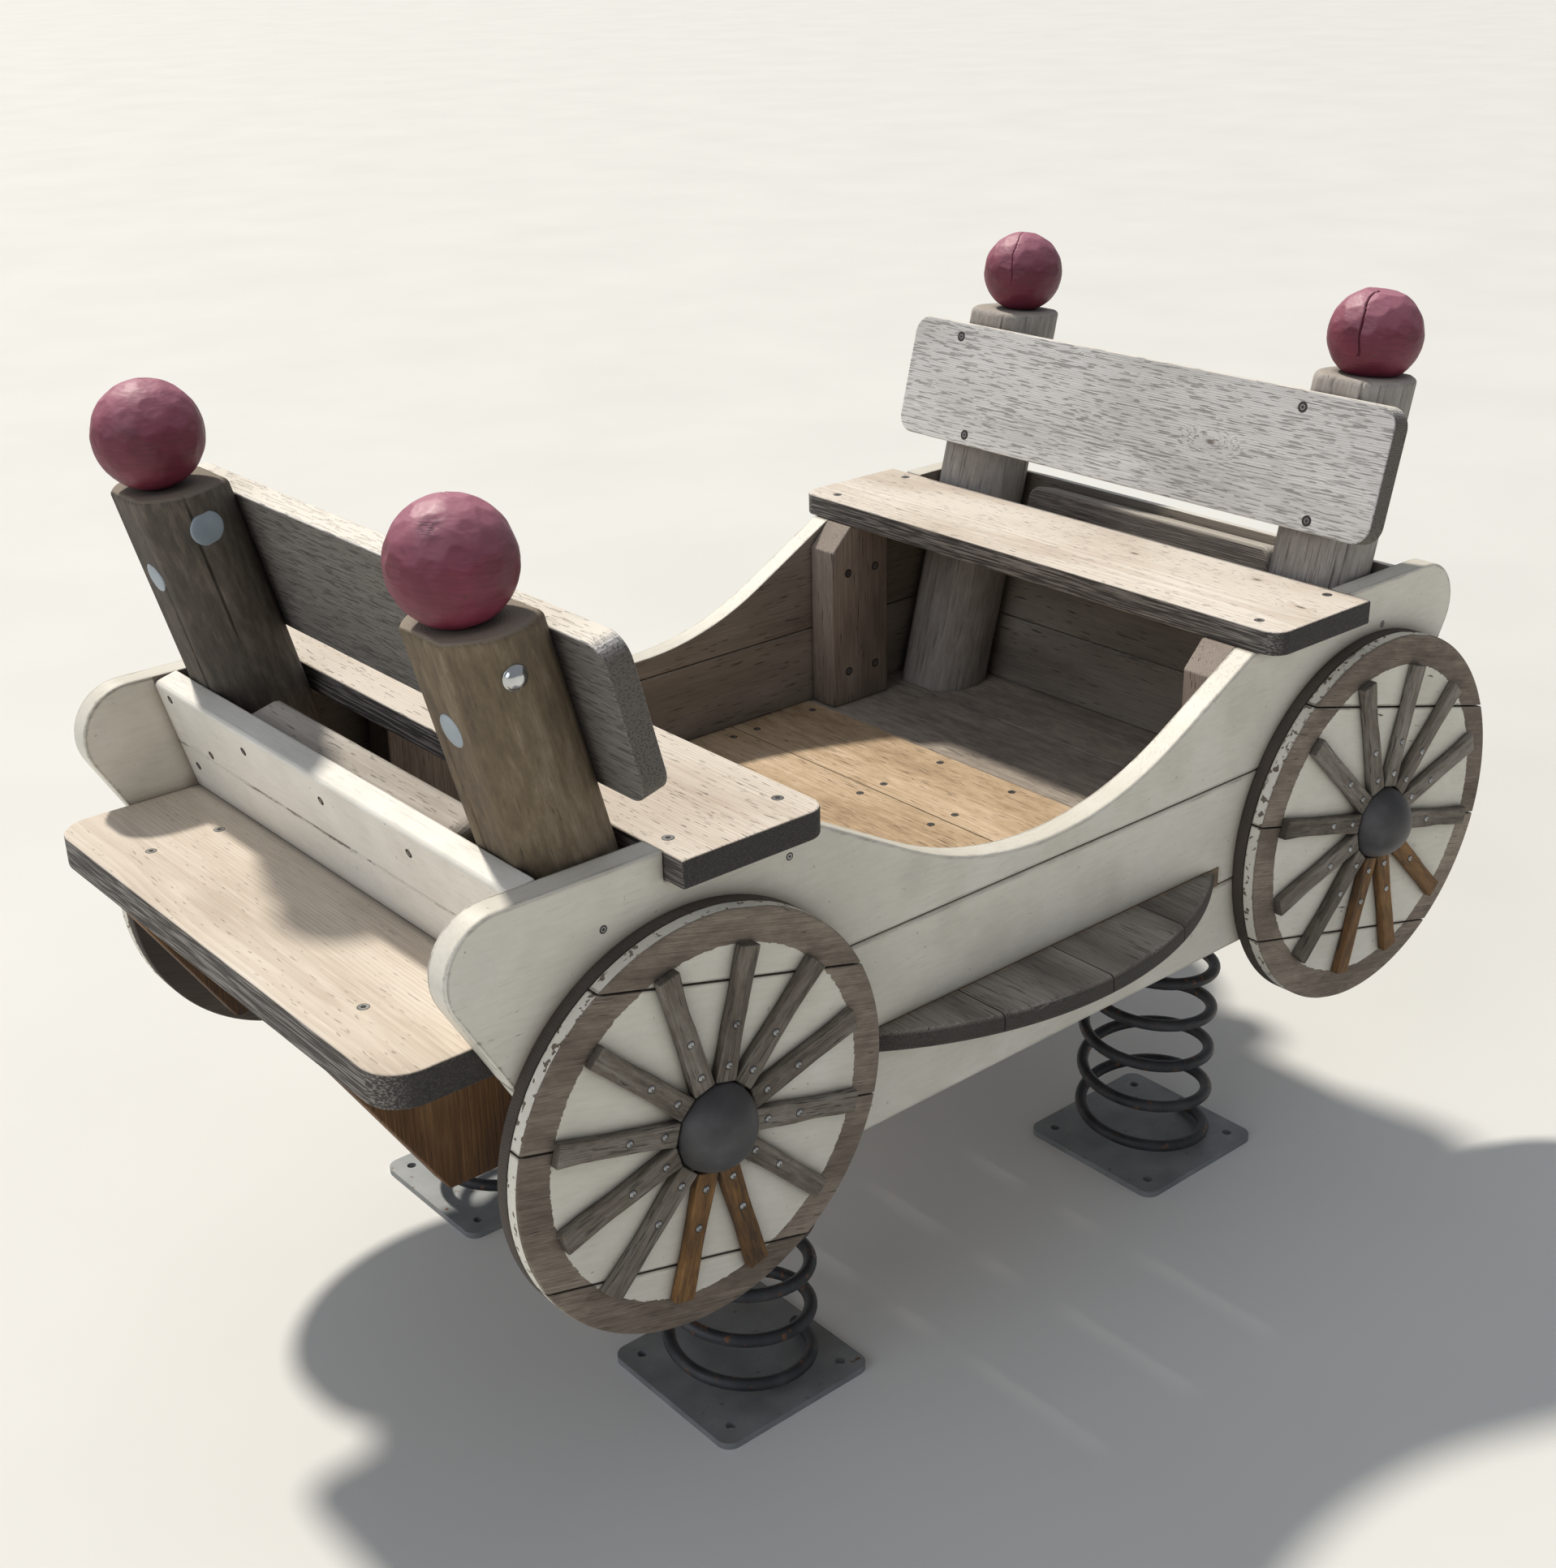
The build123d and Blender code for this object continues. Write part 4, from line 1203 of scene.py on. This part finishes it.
def stand_on_points(tree, start, shape, material):
    """Puts the shape on every point, its Z along the point's out vector, spun by a fixed seed."""
    out = add(tree, "GeometryNodeInputNamedAttribute", {"Name": "out"}, data_type="FLOAT_VECTOR")
    turn = add(tree, "FunctionNodeAlignRotationToVector", {"Vector": out}, axis="Z")
    spin = add(tree, "FunctionNodeRandomValue", {"Seed": 7}, out=1, data_type="FLOAT")
    spin = add(tree, "Math MULTIPLY", (spin, FULL_TURN))
    spin = add(tree, "FunctionNodeAxisAngleToRotation", {"Axis": (0, 0, 1), "Angle": spin})
    turn = add(tree, "FunctionNodeRotateRotation", (turn, spin), rotation_space="LOCAL")
    put = add(tree, "GeometryNodeInstanceOnPoints", {
        "Points": start["Geometry"], "Instance": shape, "Rotation": turn,
    })
    end_tree(tree, put, material)


def flat_disc(tree, wide, rise):
    """A short upright cylinder of that width."""
    half = add(tree, "Math MULTIPLY", (wide, 0.5))
    return add(tree, "GeometryNodeMeshCylinder", {"Vertices": 24, "Radius": half, "Depth": rise})


head_tree, size = new_tree("star_drive_heads", {"Head": 10 * MM, "Rise": 0.6 * MM})
disc = flat_disc(head_tree, size["Head"], size["Rise"])
disc = star_drive(head_tree, disc, size["Head"], 0.21, 0.32, -2 * MM, 2 * MM)
stand_on_points(head_tree, size, disc, STAINLESS)

round_tree, size = new_tree("round_heads", {"Head": 9 * MM})
half = add(round_tree, "Math MULTIPLY", (size["Head"], 0.5))
dome = add(round_tree, "GeometryNodeMeshUVSphere", {"Segments": 20, "Rings": 12, "Radius": half})
dome = add(round_tree, "GeometryNodeTransform", {"Geometry": dome, "Scale": (1.0, 1.0, 0.5)})
dome = star_drive(round_tree, dome, size["Head"], 0.10, 0.16, 0.5 * MM, 4 * MM)
stand_on_points(round_tree, size, dome, STAINLESS)

well_tree, size = new_tree("screw_wells", {"Well": 14 * MM, "Rise": 0.3 * MM})
stand_on_points(well_tree, size, flat_disc(well_tree, size["Well"], size["Rise"]), WELL_DARK)
print("screw trees ready")

# %% [markdown]
# Where the screws are
# Heights are measured up from the side planks' lower edge, as a carpenter would. Each mark says which
# dressed board the ray is shot at, from where, and against which way.

# %% Screw places
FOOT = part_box("left_side_lower_plank")[0].z
BACK_SCREWS = {
    # distance to the right of the middle, height
    "front": ((0.345, 0.727), (0.345, 0.564), (-0.345, 0.727), (-0.345, 0.564)),
    "rear": ((0.367, 0.7226), (0.318, 0.5723), (-0.320, 0.7215), (-0.370, 0.572)),
}
END_SCREWS = ((0.3845, 0.461), (0.1896, 0.4466), (-0.0047, 0.4433), (-0.2056, 0.4459), (-0.405, 0.448),
              (0.317, 0.398), (0.387, 0.358), (-0.33, 0.398))
SEAT_SCREWS = ((0.434, 0.434), (0.589, 0.433))
BLOCK_SCREWS = ((0.395, 0.197), (0.395, 0.370), (0.455, 0.197), (0.455, 0.370))
SIDE_SCREWS = (-0.697, -0.437, 0.698)
FLOOR_BOARD, FLOOR_START, SCREW_IN, FLOOR_ROWS = 172 * MM, -334 * MM, 25 * MM, (-0.078, 0.078, -0.385, 0.385)
SPOKES, SPOKE_SCREWS = 12, (76 * MM, 125 * MM)
# heights above the foot and distances from the middle, near which the faces lie, and a ray's start off them
SEAT_TOP, BENCH_TOP, FLOOR_TOP, SIDE_ROW = 0.4825, 0.317, 0.139, 0.418
BLOCK_FACE, SIDE_FACE, SPOKE_FACE, BACK_FACE, END_FACE, RAY = 0.36, 0.4565, 0.50, 0.60, 0.80, 0.25
spots = {kind: [] for kind in ("seat", "backrest", "block", "end_board", "floor", "side", "spoke")}


def mark(kind, node, x, y, z, way):
    """Notes where a ray shot against the way meets the dressed board, and that face's normal."""
    start = Vector((x, y, z)) + Vector(way) * RAY
    hit, spot, normal, _ = bpy.data.objects[f"dressed_{node}"].ray_cast(start, -Vector(way))
    if not hit:
        raise SystemExit(f"no face of {node} at {x, y, z}")
    spots[kind].append((spot, normal))


for end, end_name in ENDS:
    for hand, hand_name in HANDS:
        for x, y in SEAT_SCREWS:
            mark("seat", f"{end_name}_seat", end * x, hand * y, FOOT + SEAT_TOP, (0, 0, 1))
        for x, z in BLOCK_SCREWS:
            mark("block", f"{hand_name}_corner_blocks", end * x, hand * BLOCK_FACE, FOOT + z, (0, -hand, 0))
    for y, z in BACK_SCREWS[end_name]:
        x = end * (BACK_FACE + (z - SEAT_TOP) * math.tan(LEAN))
        mark("backrest", f"{end_name}_backrest", x, y, FOOT + z, (-end, 0, 0))
    for y, z in END_SCREWS:
        mark("end_board", f"{end_name}_end_boards", end * END_FACE, y, FOOT + z, (end, 0, 0))
for y in (-0.266, 0.266):
    for x in (-0.888, -0.794):
        mark("seat", "driver_bench", x, y, FOOT + BENCH_TOP, (0, 0, 1))
for board in range(4):
    for x in (SCREW_IN, FLOOR_BOARD - SCREW_IN):
        for y in FLOOR_ROWS:
            mark("floor", "step_floor_boards",
                 FLOOR_START + board * FLOOR_BOARD + x, y, FOOT + FLOOR_TOP, (0, 0, 1))
for hand, hand_name in HANDS:
    for x in SIDE_SCREWS:
        mark("side", f"{hand_name}_side_upper_plank", x, hand * SIDE_FACE, FOOT + SIDE_ROW, (0, hand, 0))
    for _, end_name in ENDS:
        wheel = WHEELS[end_name]
        for spoke in range(SPOKES):
            angle = FULL_TURN * spoke / SPOKES + TURN
            for r in SPOKE_SCREWS:
                mark("spoke", f"{end_name}_{hand_name}_wheel_spokes", wheel["x"] + r * math.cos(angle),
                     hand * SPOKE_FACE, wheel["z"] + r * math.sin(angle), (0, hand, 0))
print("screws", sum(len(places) for places in spots.values()))

# %% [markdown]
# The marks become clouds of points that carry the faces' normals, and each cloud is grown twice:
# once as screw heads, once as the wells round them.

# %% Screws
SCREWS = (
    # kind, tree of the head, width of head and well in mm
    ("seat", head_tree, 13.0, 14.6), ("backrest", head_tree, 9.0, 16.0), ("block", head_tree, 8.0, 15.0),
    ("end_board", head_tree, 5.5, 12.0), ("floor", head_tree, 9.0, 12.0), ("side", head_tree, 7.0, 10.0),
    ("spoke", round_tree, 9.0, 10.6),
)


def cloud_of(name, marks):
    """A mesh of loose points, each with the out vector of the face it lies on."""
    mesh = bpy.data.meshes.new(name)
    mesh.from_pydata([spot for spot, _ in marks], [], [])
    data = mesh.attributes.new("out", "FLOAT_VECTOR", "POINT").data
    data.foreach_set("vector", [part for _, normal in marks for part in normal])
    return mesh


for kind, tree, head_mm, well_mm in SCREWS:
    name = f"{kind}_screws"
    grow(name, cloud_of(name, spots[kind]), tree, {"Head": head_mm * MM})
    name = f"{kind}_screw_wells"
    grow(name, cloud_of(name, spots[kind]), well_tree, {"Well": well_mm * MM})
print("kinds of screw", len(SCREWS))

# %% [markdown]
# Bolt covers on the posts
# Long bolts tie each post to the boards. Their nuts sit in wells near the post's head, under pale
# grey-blue push-in covers; one cover is lost, and there the domed steel nut shows. A cover is a
# shallow dome with a rounded rim. It could be a squashed sphere, but the rim is what catches the
# light, so it is spun from its profile.

# %% Bolt covers
# Moulded plastic, paled by the sun: a soft sheen on grey blue.
COVER = coated("grey_blue_plastic_cover", ("#8795a0", "#97a4ad", "#a6b1b8", "#7d8a90"), 0.42, 0.0, 0.7, 1.5)
# Polished stainless steel: it mirrors the sky.
DOME = coated("polished_stainless_nut", ("#b4b6b6", "#c9cbcb", "#d8d9d9", "#a39a8c"), 0.16, 1.0, 0.7, 4.0)
BUTTON_STEPS, NUT_ASIDE = 40, 9 * MM
SIDE_BOLT_DOWN, END_BOLT_DOWN = 47 * MM, 104 * MM
# profiles: radius and height in mm, from the foot in the well up to the crown
FLAT_COVER = ((20.0, -5.0), (20.0, -0.6), (19.4, 0.1), (18.0, 0.5), (14.0, 0.9), (9.0, 1.2), (4.0, 1.3),
              (0.5, 1.35))
WIDE_COVER = tuple((r * 1.1, h) for r, h in FLAT_COVER)
DOME_NUT = ((14.4, -4.0), (14.4, 0.3), (13.9, 0.8), (12.6, 1.1), (12.2, 2.0), (11.1, 3.8), (9.0, 5.6),
            (6.1, 7.0), (2.9, 7.6), (0.4, 7.8))


def button(name, profile, place, out, material):
    """Spins a profile round the out vector at the place."""
    turn = out.to_track_quat("Z", "Y").to_matrix()
    angles = [FULL_TURN * step / BUTTON_STEPS for step in range(BUTTON_STEPS)]
    mesh = skinned(name, [
        [place + turn @ Vector((r * MM * math.cos(a), r * MM * math.sin(a), h * MM)) for a in angles]
        for r, h in profile
    ])
    smooth(mesh)
    mesh.materials.append(material)
    hand_in(placed(name, mesh))


for end, end_name in ENDS:
    for hand, hand_name in HANDS:
        name = f"{end_name}_{hand_name}"
        head, way, _ = post_head(name)
        steel = (end, hand) == (-1, -1)
        aside = (NUT_ASIDE if steel else 0.0) / POST_R
        side_out = SIDEWAYS * end
        side_out = side_out * math.cos(aside) + side_out.cross(way) * math.sin(aside)
        side_place = head - way * SIDE_BOLT_DOWN + side_out * (POST_R - 0.7 * MM)
        if steel:
            button(f"{name}_post_side_nut", DOME_NUT, side_place, side_out, DOME)
        else:
            button(f"{name}_post_side_cover", WIDE_COVER, side_place, side_out, COVER)
        end_out = way.cross(SIDEWAYS) * -end
        end_out = end_out if end_out.x * end > 0 else -end_out
        end_place = head - way * END_BOLT_DOWN + end_out * (POST_FLAT - 0.3 * MM)
        button(f"{name}_post_end_cover", FLAT_COVER, end_place, end_out, COVER)
print("covers set")

# %% [markdown]
# Paint beads on the end boards
# Between the two upper boards of each end the paint has filled the joint and stands out as a pale,
# broken bead. Bump couldn't let it stand out against the boards behind, so it is a low half-round
# strip whose height and width wander with noise.

# %% Paint beads
BEAD_STEPS, BEAD_SIDES, BEAD_WIDE, BEAD_HIGH = 260, 9, 2.6 * MM, 2.4 * MM
BEAD_Z = FOOT + 0.386


def bead_mesh(name, end):
    """A wandering half-round strip of paint along the joint of an end's boards."""
    lean_way = Vector((end * math.sin(LEAN), 0, math.cos(LEAN)))
    out = Vector((end * math.cos(LEAN), 0, -math.sin(LEAN)))
    foot = Vector((end * (END_TOP_X + (BEAD_Z - END_TOP_Z) * math.tan(LEAN)), 0, BEAD_Z))
    rows = []
    for step in range(BEAD_STEPS + 1):
        y = (END_HIGH.y - 2 * MM) * (2 * step / BEAD_STEPS - 1)
        swell = (0.75 + 0.7 * noise.noise(Vector((y * 55, end * 3.0, 0)))
                 + 0.4 * noise.noise(Vector((y * 190, end, 5))))
        swell = max(0.12, swell)
        middle = foot + Vector((0, y, 0)) + lean_way * 0.6 * MM * noise.noise(Vector((y * 40, end, 9)))
        rows.append([])
        for side in range(BEAD_SIDES):
            angle = math.pi * side / (BEAD_SIDES - 1)
            rows[-1].append(middle + lean_way * BEAD_WIDE * swell * math.cos(angle)
                            + out * (BEAD_HIGH * swell * math.sin(angle) - 0.4 * MM))
    return skinned(name, rows)


# Paint that stands thick in a joint: pale, with little wood showing through.
THICK_PAINT, tree, place = new_material("thick_white_paint_in_a_joint")
paint_over(tree, place, BARE_SIDE, 1.0,
           dict(WHITE, edge_wear=0.1, region_wear=0.3, hold=0.78, joint="#c9c5b9"))
for end, end_name in ENDS:
    mesh = bead_mesh(f"{end_name}_paint_bead", end)
    smooth(mesh)
    store_grain(mesh, ACROSS)
    mesh.materials.append(THICK_PAINT)
    hand_in(placed(f"{end_name}_paint_bead", mesh))
print("beads", len(mesh.polygons), "faces each")

# %% [markdown]
# Floor, light and camera
# The carriage stands on a plain pale studio floor. A soft lamp stands high over the far side, where
# the shadow of a ball on the driver's bench puts the sun in the photograph, so the same faces are
# bright and the same ones shaded, and the world fills the rest. Rays that reach the camera see a
# paler world than the one that lights the wood.

# %% Floor
FLOOR_HALF = 60.0
floor_mesh = bpy.data.meshes.new("studio_floor")
floor_mesh.from_pydata([(x * FLOOR_HALF, y * FLOOR_HALF, 0) for x, y in ((-1, -1), (1, -1), (1, 1), (-1, 1))],
                       [], [(0, 1, 2, 3)])
studio_floor = placed("studio_floor", floor_mesh)
# Floor paint, rolled on: matt, and barely clouded.
floor_paint, tree, place = new_material("pale_studio_floor")
cloud = add(tree, "TexNoise", {"Vector": place, "Scale": 1.5, "Detail": 3.0})
colour = add(tree, "ValToRGB", (cloud,), stops=((0.3, "#dfdfdc"), (0.7, "#e4e4e1")))
finish_material(tree, colour, 0.7, cloud, 0.1 * MM)
floor_mesh.materials.append(floor_paint)
print("floor laid")

# %% [markdown]
# Two suns and a sky are enough: a sun lamp lights near and far alike, as daylight does, and its
# angle sets how soft the edges of the shadows are.

# %% World and lamps
world = bpy.data.worlds.new("soft_sky")
world.use_nodes = True
bpy.context.scene.world = world
tree = world.node_tree
tree.nodes.clear()
ray = add(tree, "LightPath").node
fill = add(tree, "Background", {"Color": linear("#eef3fb"), "Strength": 0.33})
pale = add(tree, "Background", {"Color": linear("#e6e6e3"), "Strength": 1.0})
sky = add(tree, "MixShader", {0: ray.outputs["Is Camera Ray"], 1: fill, 2: pale})
tree.links.new(sky, tree.nodes.new("ShaderNodeOutputWorld").inputs["Surface"])


def soft_sun(name, bearing, rise, spread, strength, colour):
    """A sun lamp of wide angle, which lights floor and carriage evenly like a large soft box."""
    lamp = bpy.data.lights.new(name, "SUN")
    lamp.angle = math.radians(spread)
    lamp.energy = strength
    lamp.color = linear(colour)[:3]
    placed(name, lamp).rotation_euler = (math.radians(90 - rise), 0, math.radians(bearing))


soft_sun("key_over_the_far_side", 177, 52, 4, 3.2, "#fff8ec")
soft_sun("fill_from_the_front", -85, 25, 40, 0.6, "#f4f7ff")
print("lamps set")

# %% [markdown]
# The camera was found by fitting the carriage's own edges to the photograph: it looks down from
# about eye height, past the near front corner, with a slightly long lens.

# %% Camera
AZIMUTH, HEIGHT_ANGLE, ROLL = -0.69465, 0.41761, -0.02314
EYE, FOCAL_MM, SENSOR_MM = (-1.79596, -2.06996, 1.85404), 47.90, 36.0
back = Vector((math.sin(AZIMUTH) * math.cos(HEIGHT_ANGLE), -math.cos(AZIMUTH) * math.cos(HEIGHT_ANGLE),
               math.sin(HEIGHT_ANGLE)))
right = Vector((math.cos(AZIMUTH), math.sin(AZIMUTH), 0))
up = back.cross(right)
turned_right = math.cos(ROLL) * right + math.sin(ROLL) * up
turned_up = math.cos(ROLL) * up - math.sin(ROLL) * right
lens = bpy.data.cameras.new("photo_camera")
lens.sensor_fit = "HORIZONTAL"
lens.sensor_width = SENSOR_MM
lens.lens = FOCAL_MM
camera = placed("photo_camera", lens)
camera.matrix_world = Matrix((turned_right, turned_up, back)).transposed().to_4x4()
camera.location = EYE
bpy.context.scene.camera = camera
bpy.context.scene.view_settings.view_transform = "Standard"
print("camera at", tuple(camera.location))
